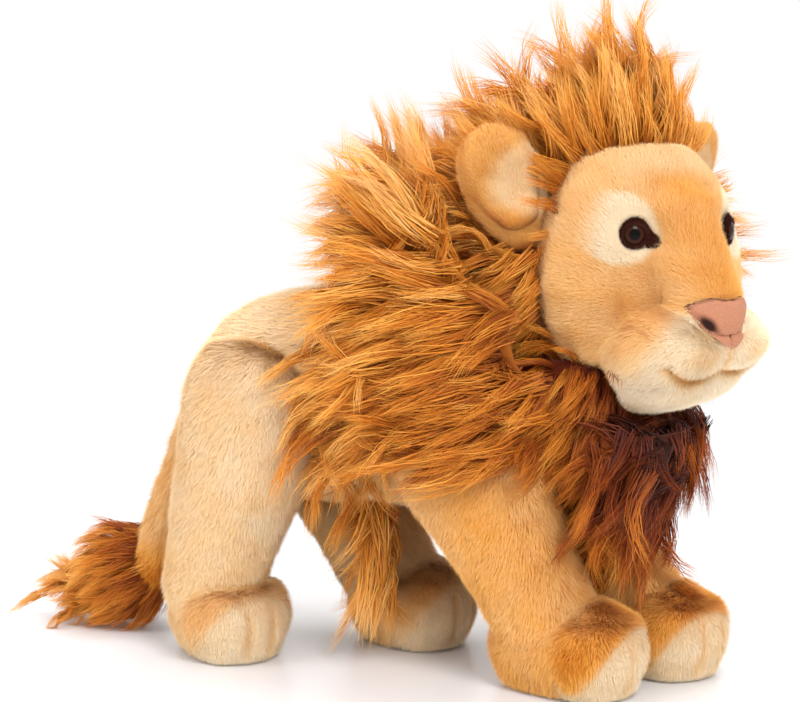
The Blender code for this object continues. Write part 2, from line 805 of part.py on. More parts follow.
def head_pieces():
    pieces = {}
    eyes = {side: eye_matrix(side) for side in (-1, 1)}
    filling = head_inside(SKIN)
    room = head_inside(SKIN - GAP)
    skin = cut(union(skull(), bridge()), behind_chin(), room, muzzle(GAP))
    pads = cut(muzzle(), behind_chin(), room)
    for side, place in eyes.items():
        hole = moved(eye(GAP), place)
        skin = cut(skin, hole)
        pads = cut(pads, hole)
        filling = cut(filling, hole, moved(washer_disc(GAP), place))
    pieces["head_skin"] = main_body(skin)
    pieces["muzzle_skin"] = main_body(pads)
    pieces["head_filling"] = main_body(filling)
    pieces["nose"] = film(GAP, NOSE_THICKNESS, nose_window())
    for side, place in eyes.items():
        word = side_word(side)
        hole = moved(eye(GAP), place)
        pieces["eye_" + word] = moved(eye(), place)
        ring_shape = cut(washer_disc(), lathe(shank_profile(GAP), ROUND_SIDES))
        pieces["eye_washer_" + word] = moved(ring_shape, place)
        patch = film(GAP, EYE_PATCH_THICKNESS, moved(patch_window(side), place))
        pieces["eye_patch_" + word] = main_body(cut(patch, hole))
        top = EYE_PATCH_THICKNESS + GAP
        lid = film(top + GAP, EYELID_THICKNESS, moved(lid_window(side), place))
        pieces["eyelid_" + word] = main_body(cut(lid, hole))
    mane = union(crest_form(), ruff_form())
    mane = shared(mane, moved(head_region(), head_matrix().inverted()))
    mane = cut(mane, skull(GAP), muzzle(GAP), behind_chin())
    for side in (-1, 1):
        mane = cut(mane, ear_room(side, ROOM_GAP))
    pieces["head_mane"] = main_body(mane)
    return pieces


def side_word(side):
    return "right" if side < 0 else "left"


def on_surface(mesh, origin, direction):
    """The first point of a mesh that is met from the origin along the direction."""
    corners = [vertex.co for vertex in mesh.vertices]
    tree = BVHTree.FromPolygons(corners, [polygon.vertices for polygon in mesh.polygons])
    return tree.ray_cast(origin, direction)[0]


def film(start, thickness, window):
    """A layer of fabric laid on the face, inside a window."""
    layer = shared(face(start + thickness), window)
    return main_body(cut(layer, face(start)))


# Eyes


def eye_matrix(side):
    from_front = Vector((side * EYE_SPACING / 2, -OVERRUN * 2, EYE_RISE))
    place = on_surface(union(skull(), bridge()), from_front, Vector((0, 1, 0)))
    outward = Vector((side * sin(radians(EYE_SPLAY)), -cos(radians(EYE_SPLAY)), 0))
    return Matrix.Translation(place) @ outward.to_track_quat("Z", "Y").to_matrix().to_4x4()


def eye(grow=0.0):
    radius = EYE_DIAMETER / 2 + grow
    shank = SHANK_DIAMETER / 2 + grow
    base = -EYE_SINK - grow
    profile = [(0, -SHANK_LENGTH - grow), (shank, -SHANK_LENGTH - grow), (shank, base), (radius, base)]
    for step in range(CAP_RINGS + 1):
        angle = pi / 2 * step / (CAP_RINGS + 1)
        profile.append((radius * cos(angle), (EYE_DOME_HEIGHT + grow) * sin(angle)))
    profile.append((0, EYE_DOME_HEIGHT + grow))
    return lathe(profile, ROUND_SIDES)


def shank_profile(grow):
    shank = SHANK_DIAMETER / 2 + grow
    return [(0, -SHANK_LENGTH), (shank, -SHANK_LENGTH), (shank, 0), (0, 0)]


def washer_disc(grow=0.0):
    top = -SKIN - WASHER_SEAT + grow
    low = -SKIN - WASHER_SEAT - WASHER_THICKNESS - grow
    radius = WASHER_DIAMETER / 2 + grow
    return lathe([(0, low), (radius, low), (radius, top), (0, top)], ROUND_SIDES)


def slab(points):
    """A window through the face: an outline in the eye's own plane, carried along its axis."""
    work = bmesh.new()
    half = OVERRUN / 4
    low = [work.verts.new((x, y, -half)) for x, y in points]
    high = [work.verts.new((x, y, half)) for x, y in points]
    work.faces.new(list(reversed(low)))
    work.faces.new(high)
    for step in range(len(points)):
        after = (step + 1) % len(points)
        work.faces.new((low[step], low[after], high[after], high[step]))
    return mesh_of(work)


def oval(centre_x, centre_y, half_width, half_height, sides=ROUND_SIDES):
    points = []
    for step in range(sides):
        angle = 2 * pi * step / sides
        points.append((centre_x + half_width * cos(angle), centre_y + half_height * sin(angle)))
    return points


def patch_window(side):
    points = oval(side * EYE_PATCH_OUTWARD, EYE_PATCH_RISE, EYE_PATCH_WIDTH / 2, EYE_PATCH_HEIGHT / 2)
    return slab(points)


def lid_window(side):
    radius = EYE_DIAMETER / 2 + EYELID_WIDTH
    round_part = slab(oval(0, 0, radius, radius))
    tip = (-side * (radius + EYELID_CORNER), -EYELID_CORNER)
    root = radius * LID_ROOT_SHARE
    corner = [(0, root), tip, (0, -root)]
    if side > 0:
        corner.reverse()
    return union(round_part, slab(corner))


def nose_window():
    """A rounded triangle, wide at the top, seen from the front."""
    points = []
    for step in range(ROUND_SIDES):
        angle = 2 * pi * step / ROUND_SIDES
        rise = sin(angle)
        width = NOSE_WIDTH / 2 * (NOSE_LOW_WIDTH_SHARE + (1 - NOSE_LOW_WIDTH_SHARE) * (rise + 1) / 2)
        points.append((width * cos(angle), NOSE_HEIGHT / 2 * rise))
    window = slab(points)
    turn = Matrix.Rotation(pi / 2, 4, "X")
    return moved(window, Matrix.Translation((0, -BRIDGE_TIP_FORWARD - NOSE_REACH, -NOSE_DROP)) @ turn)


# Ears


def ear_matrix(side):
    place = Vector((side * EAR_SPREAD, EAR_BACK, EAR_RISE))
    lean = Matrix.Rotation(side * radians(EAR_LEAN), 4, "Y")
    turn = Matrix.Rotation(side * radians(EAR_TURN), 4, "Z")
    return Matrix.Translation(place) @ turn @ lean


def ear_shape(width_scale, start, forward, thickness, grow):
    stations = []
    for share, width_share, thick_share, bend_share in EAR_SHARES:
        y = EAR_LENGTH * bend_share - forward
        z = start + (EAR_LENGTH - start) * share * EAR_CAP_SHARE
        width = EAR_HALF_WIDTH * width_share * width_scale
        stations.append((0, y, z, width, thickness * thick_share))
    top = stations[-1][2]
    return swept(stations, thickness, EAR_LENGTH - top, grow, EAR_AROUND, FEW_ALONG)


def ear_form(grow=0.0):
    return ear_shape(1, 0, 0, EAR_HALF_THICKNESS, grow)


def ear_scoop(grow=0.0):
    start, forward = EAR_HALF_THICKNESS * 2, EAR_HALF_THICKNESS
    return ear_shape(EAR_LINING_SHARE, start, forward, EAR_LINING_THICKNESS, grow)


def ear_room(side, grow):
    """The space that an ear sweeps as it folds: deeper with the distance from its root."""
    deep = EAR_HALF_THICKNESS + EAR_LINING_THICKNESS
    stations = []
    for share, width_share, _, bend_share in EAR_SHARES:
        z = EAR_LENGTH * share * EAR_CAP_SHARE
        y = EAR_LENGTH * bend_share - EAR_LINING_THICKNESS / 2
        swing = (z + EAR_HALF_WIDTH * 2) * sin(radians(EAR_FLEX))
        stations.append((0, y, z, EAR_HALF_WIDTH * width_share, deep + swing))
    end_cap = EAR_LENGTH - stations[-1][2]
    fold = swept(stations, EAR_HALF_THICKNESS * 2, end_cap, grow, EAR_AROUND, FEW_ALONG)
    return moved(fold, ear_matrix(side))


def ear_pieces(side):
    word = side_word(side)
    clear_skull = skull(GAP + EAR_HALF_THICKNESS * sin(radians(EAR_FLEX)))
    back = moved(cut(ear_form(), ear_scoop(GAP)), ear_matrix(side))
    lining = moved(ear_scoop(), ear_matrix(side))
    return {
        "ear_" + word + "_back": main_body(cut(back, clear_skull)),
        "ear_" + word + "_lining": main_body(cut(lining, clear_skull)),
    }


# Tail


def tail_path(distance):
    droop = radians(TAIL_DROOP)
    return Vector((0, TAIL_ROOT_Y + distance * cos(droop), TAIL_ROOT_HEIGHT - distance * sin(droop)))


def tail_form(grow=0.0):
    stations = []
    for share in (0, 1 / 2, 1):
        radius = TAIL_ROOT_RADIUS + (TAIL_END_RADIUS - TAIL_ROOT_RADIUS) * share
        stations.append((*tail_path(TAIL_LENGTH * share), radius, radius))
    return swept(stations, TAIL_ROOT_RADIUS, TAIL_END_RADIUS, grow, FEW_AROUND, MORE_ALONG)


def tail_root_block():
    """The space behind the tail's open root, inside the rump."""
    work = box((-OVERRUN, -OVERRUN, -OVERRUN), (OVERRUN, OVERRUN, -TAIL_ROOT_RADIUS * TAIL_ROOT_SHARE))
    path = tail_path(1) - tail_path(0)
    turn = path.to_track_quat("Z", "Y").to_matrix().to_4x4()
    return moved(work, Matrix.Translation(tail_path(0)) @ turn)


def tuft_form(grow=0.0):
    start = tail_path(TAIL_LENGTH - TAIL_END_RADIUS)
    droop = radians(TUFT_DROOP)
    stations = []
    for share, width_share in TUFT_SHARES:
        place = start + Vector((0, cos(droop), -sin(droop))) * (TUFT_LENGTH * share)
        radius = TUFT_RADIUS * width_share
        stations.append((*place, radius * TUFT_FLATNESS_SHARE, radius))
    return lock_form(
        stations, TAIL_END_RADIUS / 2, TUFT_LOCKS, SHORT_ROWS, TUFT_TIP, LOCK_FLARE, grow
    )


def tail_pieces():
    outer = cut(tail_form(), tail_root_block())
    room = tail_form(-SKIN + GAP)
    filling = cut(tail_form(-SKIN), tail_root_block())
    floor = box((-OVERRUN * 2, 0, TUFT_LIFT), (OVERRUN * 2, OVERRUN * 8, OVERRUN * 6))
    tuft = cut(shared(tuft_form(), floor), tail_form(GAP))
    return {
        "tail_skin": main_body(cut(outer, room)),
        "tail_filling": main_body(filling),
        "tail_tuft": main_body(tuft),
    }


def tail_room(depth):
    """The space that the tail sweeps as it lifts: deeper with the distance from its root."""
    middle = Matrix.Rotation(radians(TAIL_FLEX / 2), 4, "X")
    path = middle @ (tail_path(1) - tail_path(0))
    stations = []
    for share in (0, 1 / 4, 1 / 2):
        distance = TAIL_LENGTH * share
        radius = TAIL_ROOT_RADIUS + (TAIL_END_RADIUS - TAIL_ROOT_RADIUS) * share
        swing = (distance + TAIL_ROOT_RADIUS) * sin(radians(TAIL_FLEX / 2))
        deep = radius + swing * TAIL_SWING_SHARE
        stations.append((*(tail_path(0) + path * distance), radius, deep))
    grow = GAP * 2 + depth
    return swept(stations, TAIL_ROOT_RADIUS, TAIL_ROOT_RADIUS, grow, FEW_AROUND, MORE_ALONG)


# Mane


def head_region(grow=0.0):
    """A turned solid about the head's pivot that holds all the long pile that turns with the head."""
    low = NECK_PLANE - grow
    top = HEAD_HEIGHT + CREST_HEIGHT * 2
    profile = [
        (0, low),
        (RUFF_RADIUS + grow, low),
        (RUFF_RADIUS + grow, RUFF_TOP - grow),
        (EAR_RADIUS + grow, EAR_RADIUS_HEIGHT - grow),
        (CREST_RADIUS + grow, CREST_RADIUS_HEIGHT - grow),
        (CREST_RADIUS + grow, top),
        (0, top),
    ]
    return moved(lathe(profile, ROUND_SIDES * 3), Matrix.Translation((0, HEAD_Y, 0)))


def lock_stations(shares, place, path, length, half_width, half_depth, bend):
    stations = []
    for share, width_share, depth_share, bend_share in shares:
        centre = place + path * (length * share) + bend * bend_share
        stations.append((*centre, half_width * width_share, half_depth * depth_share))
    return stations


def crest_form():
    up, back = Vector((0, 0, 1)), Vector((0, CREST_BACK, 0))
    stations = lock_stations(
        CREST_SHARES, Vector(), up, CREST_HEIGHT, CREST_HALF_WIDTH, CREST_HALF_DEPTH, back
    )
    return lock_form(stations, CREST_HALF_WIDTH / 4, CREST_LOCKS, SHORT_ROWS, LOCK_REACH, LOCK_FLARE)


def ruff_form():
    place = Vector((0, -RUFF_FORWARD, 0))
    stations = lock_stations(
        RUFF_SHARES, place, Vector((0, 1, 0)), RUFF_DEPTH, RUFF_HALF_WIDTH, RUFF_HALF_HEIGHT, Vector()
    )
    return lock_form(stations, LOCK_FLARE, RUFF_LOCKS, SHORT_ROWS, LOCK_REACH, LOCK_FLARE)


def cape_form():
    place = Vector((0, CAPE_FRONT_Y, CAPE_HEIGHT))
    rise = Vector((0, 0, CAPE_HALF_HEIGHT))
    stations = lock_stations(
        CAPE_SHARES, place, Vector((0, 1, 0)), CAPE_LENGTH, CAPE_HALF_WIDTH, CAPE_HALF_HEIGHT, rise
    )
    return lock_form(stations, LOCK_FLARE, CAPE_LOCKS, LONG_ROWS, LOCK_REACH, LOCK_FLARE)


def bib_form():
    place = Vector((0, BIB_Y, BIB_TOP))
    back = Vector((0, -BIB_HALF_DEPTH, 0))
    stations = lock_stations(
        BIB_SHARES, place, Vector((0, 0, -1)), BIB_LENGTH, BIB_HALF_WIDTH, BIB_HALF_DEPTH, back
    )
    return lock_form(stations, LOCK_FLARE, BIB_LOCKS, LONG_ROWS, LOCK_REACH, LOCK_FLARE)


def fringe_form():
    place, down = Vector((FRINGE_SIDE, FRINGE_Y, FRINGE_TOP)), Vector((0, 0, -1))
    stations = lock_stations(
        FRINGE_SHARES, place, down, FRINGE_LENGTH, FRINGE_HALF_WIDTH, FRINGE_HALF_DEPTH, Vector()
    )
    return lock_form(stations, LOCK_FLARE, FRINGE_LOCKS, SHORT_ROWS, LOCK_REACH, LOCK_FLARE / 2)


# Torso and the long pile sewn to it


def movers(depth):
    """The space of all that moves against the torso, and a depth of fabric round it."""
    return [muzzle_room(depth), tail_room(depth)] + [leg.room(depth) for leg in legs()]


def torso_pieces():
    clear = [head_region(TURN_GAP)] + movers(0)
    outer = cut(torso_form(), *clear)
    filling = cut(torso_form(-SKIN), head_region(TURN_GAP), *movers(SKIN))
    room = cut(torso_form(-SKIN + GAP), *movers(SKIN - GAP))
    body = torso_form(GAP)
    before = box((-OVERRUN * 2, -OVERRUN * 5, 0), (OVERRUN * 2, CAPE_FRONT_Y, OVERRUN * 6))
    behind = box((-OVERRUN * 2, CAPE_FRONT_Y - GAP, 0), (OVERRUN * 2, OVERRUN * 5, OVERRUN * 6))
    bib = cut(bib_form(), behind, body, *clear)
    cape = cut(cape_form(), before, body, *clear)
    fringe = cut(fringe_form(), body, *clear)
    return {
        "torso_skin": main_body(cut(outer, room)),
        "torso_filling": main_body(filling),
        "chest_mane": main_body(bib),
        "mane_cape": main_body(cape),
        "belly_fringe": main_body(fringe),
    }


# Assembly


FINISHES = {
    "apricot_plush": (APRICOT, 0.9),
    "cream_plush": (CREAM, 0.9),
    "golden_pile": (GOLD, 0.7),
    "dark_pile": (MAHOGANY, 0.75),
    "rust_pile": (RUST, 0.7),
    "nose_velour": (NOSE_PINK, 0.8),
    "black_velour": (BLACK, 0.85),
    "eye_plastic": (EYE_BROWN, 0.06),
    "white_filling": (FILLING_WHITE, 0.95),
    "washer_plastic": (WASHER_WHITE, 0.4),
}

FINISH_WORDS = (
    ("filling", "white_filling"),
    ("washer", "washer_plastic"),
    ("eyelid", "black_velour"),
    ("eye_patch", "cream_plush"),
    ("eye_", "eye_plastic"),
    ("nose", "nose_velour"),
    ("muzzle", "cream_plush"),
    ("lining", "cream_plush"),
    ("toe_panel", "cream_plush"),
    ("chest_mane", "dark_pile"),
    ("fringe", "dark_pile"),
    ("tuft", "rust_pile"),
    ("mane", "golden_pile"),
    ("", "apricot_plush"),
)


def pivot(name, matrix, parent):
    empty = bpy.data.objects.new(name, None)
    bpy.context.collection.objects.link(empty)
    empty.parent = parent
    empty.matrix_world = matrix
    return empty


def place_piece(name, mesh, parent, to_parent, finishes):
    mesh.transform(to_parent)
    mesh.name = name
    for polygon in mesh.polygons:
        polygon.use_smooth = True
    mesh.set_sharp_from_angle(angle=radians(SHARP_ANGLE))
    finish = next(finish for word, finish in FINISH_WORDS if word in name)
    mesh.materials.clear()
    mesh.materials.append(finishes[finish])
    item = bpy.data.objects.new(name, mesh)
    bpy.context.collection.objects.link(item)
    item.parent = parent
    return item


def middle_of(pieces):
    """The middle of the bounding box seen from above."""
    corners = [vertex.co for mesh in pieces for vertex in mesh.vertices]
    xs, ys = [v.x for v in corners], [v.y for v in corners]
    return Vector(((min(xs) + max(xs)) / 2, (min(ys) + max(ys)) / 2, 0))


def build():
    clear_scene()
    finishes = {name: material(name, *look) for name, look in FINISHES.items()}
    at_head = head_matrix()
    torso = torso_pieces()
    head = head_pieces()
    tail = tail_pieces()
    ears = {side: ear_pieces(side) for side in (-1, 1)}
    limbs = {}
    for leg in legs():
        skin, filling = leg.pieces()
        limbs[leg] = {
            leg.name + "_skin": skin,
            leg.name + "_filling": filling,
            leg.name + "_toe_panel": leg.toe_panel(),
        }
    standing = list(torso.values()) + list(tail.values())
    standing += [mesh for pieces in limbs.values() for mesh in pieces.values()]
    standing += [moved(mesh, at_head) for mesh in head.values()]
    shift = Matrix.Translation(-middle_of(standing))
    lion = pivot("lion", shift, None)
    none = Matrix.Identity(4)
    for name, mesh in torso.items():
        place_piece(name, mesh, lion, none, finishes)
    head_pivot = pivot("head_pivot", shift @ at_head, lion)
    for name, mesh in head.items():
        place_piece(name, mesh, head_pivot, none, finishes)
    for side, pieces in ears.items():
        at_ear = shift @ at_head @ ear_matrix(side)
        hinge = pivot("ear_" + side_word(side) + "_hinge", at_ear, head_pivot)
        for name, mesh in pieces.items():
            place_piece(name, mesh, hinge, ear_matrix(side).inverted(), finishes)
    for leg, pieces in limbs.items():
        hip = pivot(leg.name + "_hip", shift @ Matrix.Translation(leg.hip), lion)
        for name, mesh in pieces.items():
            place_piece(name, mesh, hip, Matrix.Translation(-leg.hip), finishes)
    root = pivot("tail_root", shift @ Matrix.Translation(tail_path(0)), lion)
    for name, mesh in tail.items():
        place_piece(name, mesh, root, Matrix.Translation(-tail_path(0)), finishes)
    print("pieces:", len(bpy.data.objects))


build()
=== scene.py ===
# %% [markdown]
# # A striding plush lion
# The real toy is sewn from short pile plush, stuffed, and dressed with long pile for its mane.
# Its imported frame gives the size, the stance and the joints, and this lesson gives it the looks.
# Each cell makes one piece or one finish, and says how many parts came out.

import json
from math import cos, pi, radians, sin

import bmesh
import bpy
import numpy as np
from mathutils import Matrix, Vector
from mathutils.bvhtree import BVHTree

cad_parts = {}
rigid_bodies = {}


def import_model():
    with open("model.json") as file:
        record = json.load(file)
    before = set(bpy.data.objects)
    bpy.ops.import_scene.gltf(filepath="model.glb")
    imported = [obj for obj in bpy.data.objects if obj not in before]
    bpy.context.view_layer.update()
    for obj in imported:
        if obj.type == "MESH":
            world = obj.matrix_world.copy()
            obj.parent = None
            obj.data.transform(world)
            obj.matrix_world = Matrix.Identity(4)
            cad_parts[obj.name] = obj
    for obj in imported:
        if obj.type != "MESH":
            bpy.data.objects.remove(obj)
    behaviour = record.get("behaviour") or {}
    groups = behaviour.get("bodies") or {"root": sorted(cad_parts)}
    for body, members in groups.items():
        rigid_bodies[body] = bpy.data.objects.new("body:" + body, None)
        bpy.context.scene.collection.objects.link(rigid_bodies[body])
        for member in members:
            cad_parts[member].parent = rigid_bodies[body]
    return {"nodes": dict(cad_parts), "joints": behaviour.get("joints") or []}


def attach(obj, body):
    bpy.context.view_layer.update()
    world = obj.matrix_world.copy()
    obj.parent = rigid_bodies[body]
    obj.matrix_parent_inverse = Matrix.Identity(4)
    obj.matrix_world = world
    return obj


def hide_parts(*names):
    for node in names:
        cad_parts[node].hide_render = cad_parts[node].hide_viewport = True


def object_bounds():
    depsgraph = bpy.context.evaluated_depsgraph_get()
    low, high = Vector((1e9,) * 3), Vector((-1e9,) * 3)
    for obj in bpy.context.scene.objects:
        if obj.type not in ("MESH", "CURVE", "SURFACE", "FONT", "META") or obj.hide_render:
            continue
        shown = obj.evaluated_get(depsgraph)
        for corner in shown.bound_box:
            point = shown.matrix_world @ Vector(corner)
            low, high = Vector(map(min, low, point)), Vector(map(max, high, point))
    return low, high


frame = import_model()


def corner_lists():
    return [[float(value) for value in corner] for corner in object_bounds()]


cad_box = corner_lists()
MM = 0.001

# %% [markdown]
# ## Colours
# The toy runs through one family of dyes, from mahogany under the mane, through rust and gold,
# to cream on the paws. One list of dyes serves every pile, and a number from 0 to 1, the shade,
# picks a place in it. So a face can run from tan to cream without a seam, as airbrushed plush does.

# %% The dyes, dark to pale


def dye(code):
    """A colour as a dyer's card gives it, turned into the linear light that shaders use."""
    parts = [int(code[start:start + 2], 16) / 255 for start in (1, 3, 5)]
    linear = [part / 12.92 if part <= 0.04045 else ((part + 0.055) / 1.055) ** 2.4 for part in parts]
    return (*linear, 1.0)


DYES = (
    (0.00, dye("#2a0c05")), (0.15, dye("#682309")), (0.30, dye("#a84f10")), (0.44, dye("#dc8420")),
    (0.56, dye("#f6b14c")), (0.68, dye("#f8c277")), (0.82, dye("#fad7a2")), (1.00, dye("#fcecd0")),
)
print("dyes:", len(DYES))

# %% [markdown]
# ## Finishes
# A strand of pile is darker at its root, where light can't reach, and paler at its tip.
# Every strand carries a map: along it from root to tip, and across the dyes by its shade.
# One shared group turns these two numbers into a colour, so short pile, long pile and the woven
# backing under them stay one family. It could be painted as an image, but a rule stays sharp.

# %% The shared colour group


def socket(group, name, kind, value=None, way="INPUT"):
    made = group.interface.new_socket(name, in_out=way, socket_type=kind)
    if value is not None:
        made.default_value = value
    return made


def node(tree, kind, **settings):
    """A new node of a kind, with its settings."""
    made = tree.nodes.new(kind)
    for name, value in settings.items():
        setattr(made, name, value)
    return made


def feed(tree, target, source):
    """Give a socket a plain value or a link."""
    if isinstance(source, bpy.types.NodeSocket):
        tree.links.new(source, target)
    else:
        target.default_value = source


def wired(tree, kind, sources, **settings):
    """A node with its inputs fed, by name or by place. What comes back is its first live output."""
    made = node(tree, kind, **settings)
    for key, source in sources.items():
        feed(tree, made.inputs[key], source)
    return next(item for item in made.outputs if item.enabled)


def maths(tree, operation, *values, clamp=False):
    return wired(tree, "ShaderNodeMath", dict(enumerate(values)), operation=operation, use_clamp=clamp)


def blend(tree, factor, low, high, way="MIX"):
    """A colour between two others."""
    sources = {"Factor": factor, 6: low, 7: high}
    return wired(tree, "ShaderNodeMix", sources, data_type="RGBA", blend_type=way)


def ramp(tree, stops, source):
    """A row of colours, read at a number from 0 to 1."""
    made = node(tree, "ShaderNodeValToRGB")
    elements = made.color_ramp.elements
    elements.remove(elements[-1])
    elements[0].position, elements[0].color = stops[0]
    for position, colour in stops[1:]:
        elements.new(position).color = colour
    feed(tree, made.inputs[0], source)
    return made.outputs[0]


def grain(tree, scale):
    """A fine noise that stays with the object."""
    spot = node(tree, "ShaderNodeTexCoord").outputs["Object"]
    return wired(tree, "ShaderNodeTexNoise", {"Vector": spot, "Scale": scale})


def roughen(tree, shader, height, strength, distance):
    """A height that only bends the light."""
    sources = {"Strength": strength, "Distance": distance, "Height": height}
    feed(tree, shader.inputs["Normal"], wired(tree, "ShaderNodeBump", sources))


def painted(tree, name):
    """A number that the mesh carries at each vertex."""
    return node(tree, "ShaderNodeAttribute", attribute_name=name).outputs["Fac"]


def strand_group():
    group = bpy.data.node_groups.new("Strand colour", "ShaderNodeTree")
    for name, value in (("Along", 0.5), ("Shade", 0.6), ("Fade", 0.15), ("Root shade", 0.5)):
        socket(group, name, "NodeSocketFloat", value)
    socket(group, "Color", "NodeSocketColor", way="OUTPUT")
    along, shade, fade, depth = node(group, "NodeGroupInput").outputs[:4]
    lift = maths(group, "MULTIPLY", maths(group, "SUBTRACT", along, 0.5), fade)
    colour = ramp(group, DYES, maths(group, "ADD", shade, lift, clamp=True))
    # Painted shade: the colour is darkened towards the root, where light can't reach, by the root shade.
    gloom = maths(group, "SUBTRACT", 1.0, maths(group, "POWER", along, 0.6))
    light = maths(group, "SUBTRACT", 1.0, maths(group, "MULTIPLY", depth, gloom))
    grey = wired(group, "ShaderNodeCombineColor", dict.fromkeys(range(3), light))
    end = node(group, "NodeGroupOutput")
    feed(group, end.inputs[0], blend(group, 1.0, colour, grey, "MULTIPLY"))
    return group


STRAND = strand_group()
print("group:", STRAND.name, len(STRAND.nodes), "nodes")

# %% Pile, backing and bare finishes
PILE_MAP = "OFBake"


def finish(name, roughness, sheen=0.0):
    made = bpy.data.materials.new(name)
    made.use_nodes = True
    shader = made.node_tree.nodes["Principled BSDF"]
    values = {"Roughness": roughness, "Sheen Weight": sheen, "Sheen Roughness": 0.45,
              "Sheen Tint": (1.0, 0.9, 0.75, 1.0), "Specular IOR Level": 0.25}
    for key, value in values.items():
        shader.inputs[key].default_value = value
    return made, made.node_tree, shader


def dyed(tree, shader, along, shade, fade, depth):
    """The shared group gives a finish its colour, with the finish's own values."""
    sources = {"Along": along, "Shade": shade, "Fade": fade, "Root shade": depth}
    feed(tree, shader.inputs["Base Color"], wired(tree, "ShaderNodeGroup", sources, node_tree=STRAND))


def pile_finish(name, fade, depth, roughness, sheen):
    made, tree, shader = finish(name, roughness, sheen)
    apart = node(tree, "ShaderNodeSeparateXYZ")
    feed(tree, apart.inputs[0], node(tree, "ShaderNodeUVMap", uv_map=PILE_MAP).outputs[0])
    dyed(tree, shader, apart.outputs[0], apart.outputs[1], fade, depth)
    return made


def backing_finish(name, along, depth):
    """The woven backing: the pile's own dye with painted shade, as it lies in the pile's shadow, and the weave
    as a fine bump.
    """
    made, tree, shader = finish(name, 0.95, 0.1)
    dyed(tree, shader, along, painted(tree, "shade"), 0.15, depth)
    roughen(tree, shader, grain(tree, 900.0), 0.4, 0.3 * MM)
    return made


# Painted shade: the depth given to each finish darkens its strands towards the roots, and the backings take
# the root's dye darkened further by it, the mane's backing most.
SHORT_PILE = pile_finish("short_plush_pile", 0.16, 0.20, 0.9, 0.10)
LONG_PILE = pile_finish("long_mane_pile", 0.20, 0.28, 0.55, 0.04)
LID_PILE = pile_finish("dark_lid_pile", 0.03, 0.30, 0.9, 0.0)
BACKING = backing_finish("woven_backing", 0.3, 0.25)
MANE_BACKING = backing_finish("mane_backing", 0.1, 0.60)
print("finishes:", SHORT_PILE.name, LONG_PILE.name, BACKING.name)

# %% [markdown]
# ## Stuffed bodies
# A stuffed piece is a sewn skin pulled tight over its filling. The frame holds each as plain solids
# with flat facets. Here they are melted into one even mesh, relaxed as stuffing relaxes cloth, and
# puffed out a little so that the seams to their neighbours close under the pile.

# %% From frame solids to a stuffed form


def link(name, mesh):
    item = bpy.data.objects.new(name, mesh)
    bpy.context.scene.collection.objects.link(item)
    return item


def plain(item):
    """The item with its modifiers taken into its mesh."""
    graph = bpy.context.evaluated_depsgraph_get()
    mesh = bpy.data.meshes.new_from_object(item.evaluated_get(graph), depsgraph=graph)
    old = item.data
    item.modifiers.clear()
    item.data = mesh
    bpy.data.meshes.remove(old)
    return item


def keep_largest(mesh):
    """Drop every loose part of a mesh but the one with the most faces."""
    work = bmesh.new()
    work.from_mesh(mesh)
    unseen = set(work.faces)
    groups = []
    while unseen:
        group = [unseen.pop()]
        for face in group:
            near = {other for edge in face.edges for other in edge.link_faces} & unseen
            unseen -= near
            group.extend(near)
        groups.append(group)
    groups.sort(key=len)
    bmesh.ops.delete(work, geom=[face for group in groups[:-1] for face in group], context="FACES")
    work.to_mesh(mesh)
    work.free()


def places(mesh):
    values = np.zeros(len(mesh.vertices) * 3)
    mesh.vertices.foreach_get("co", values)
    return values.reshape(-1, 3)


def facings(mesh):
    values = np.zeros(len(mesh.vertices) * 3, np.float32)
    mesh.vertex_normals.foreach_get("vector", values)
    return values.reshape(-1, 3).astype(float)


def set_places(mesh, values):
    mesh.vertices.foreach_set("co", values.ravel())
    mesh.update()


def tree_of(item):
    mesh = item.data
    return BVHTree.FromPolygons([v.co for v in mesh.vertices], [p.vertices for p in mesh.polygons])


def smooth(mesh):
    mesh.polygons.foreach_set("use_smooth", [True] * len(mesh.polygons))


def built(work, name):
    """The finished bmesh as an object in the scene."""
    mesh = bpy.data.meshes.new(name)
    work.to_mesh(mesh)
    work.free()
    return link(name, mesh)


def soften(item, rounds):
    ease = item.modifiers.new("soften", "SMOOTH")
    ease.factor = 0.5
    ease.iterations = rounds
    plain(item)


def sink(item, depth):
    """Move a surface in by a depth, and by less where the form is thin, so that no side crosses over."""
    tree = tree_of(item)
    at, up = places(item.data), facings(item.data)
    moves = []
    for point, normal in zip(at, up):
        inward = Vector(-normal)
        found = tree.ray_cast(Vector(point) + inward * 0.2 * MM, inward)
        moves.append(min(depth, 0.4 * found[3]) if found[0] else depth)
    set_places(item.data, at - up * np.array(moves)[:, None])


def stuffed(name, nodes, voxel=2.2 * MM, relax=10, puff=1.4 * MM):
    """One smooth closed form round the frame's nodes."""
    work = bmesh.new()
    for key in nodes:
        work.from_mesh(frame["nodes"][key].data)
    item = built(work, name)
    melt = item.modifiers.new("melt", "REMESH")
    melt.mode = "VOXEL"
    melt.voxel_size = voxel
    plain(item)
    keep_largest(item.data)
    soften(item, relax)
    if puff < 0:
        sink(item, -puff)
        soften(item, 3)
    else:
        set_places(item.data, places(item.data) + facings(item.data) * puff)
    smooth(item.data)
    item.data.materials.clear()
    return item


def step(values, low, high):
    """A smooth rise from 0 at low to 1 at high."""
    share = np.clip((values - low) / (high - low), 0, 1)
    return share * share * (3 - 2 * share)


def slope(values, low, high):
    """The same rise between two places in mm."""
    return step(values, low * MM, high * MM)


def bell(values, middle, width):
    return np.exp(-(((values - middle) / width) ** 2))


def oval(across, rise, middle, radii):
    """How far out a point lies from the middle of an oval, which is 1 on its outline."""
    return np.hypot((across - middle[0] * MM) / (radii[0] * MM), (rise - middle[1] * MM) / (radii[1] * MM))


def unit(vectors):
    return vectors / np.maximum(np.linalg.norm(vectors, axis=1, keepdims=True), 1e-9)


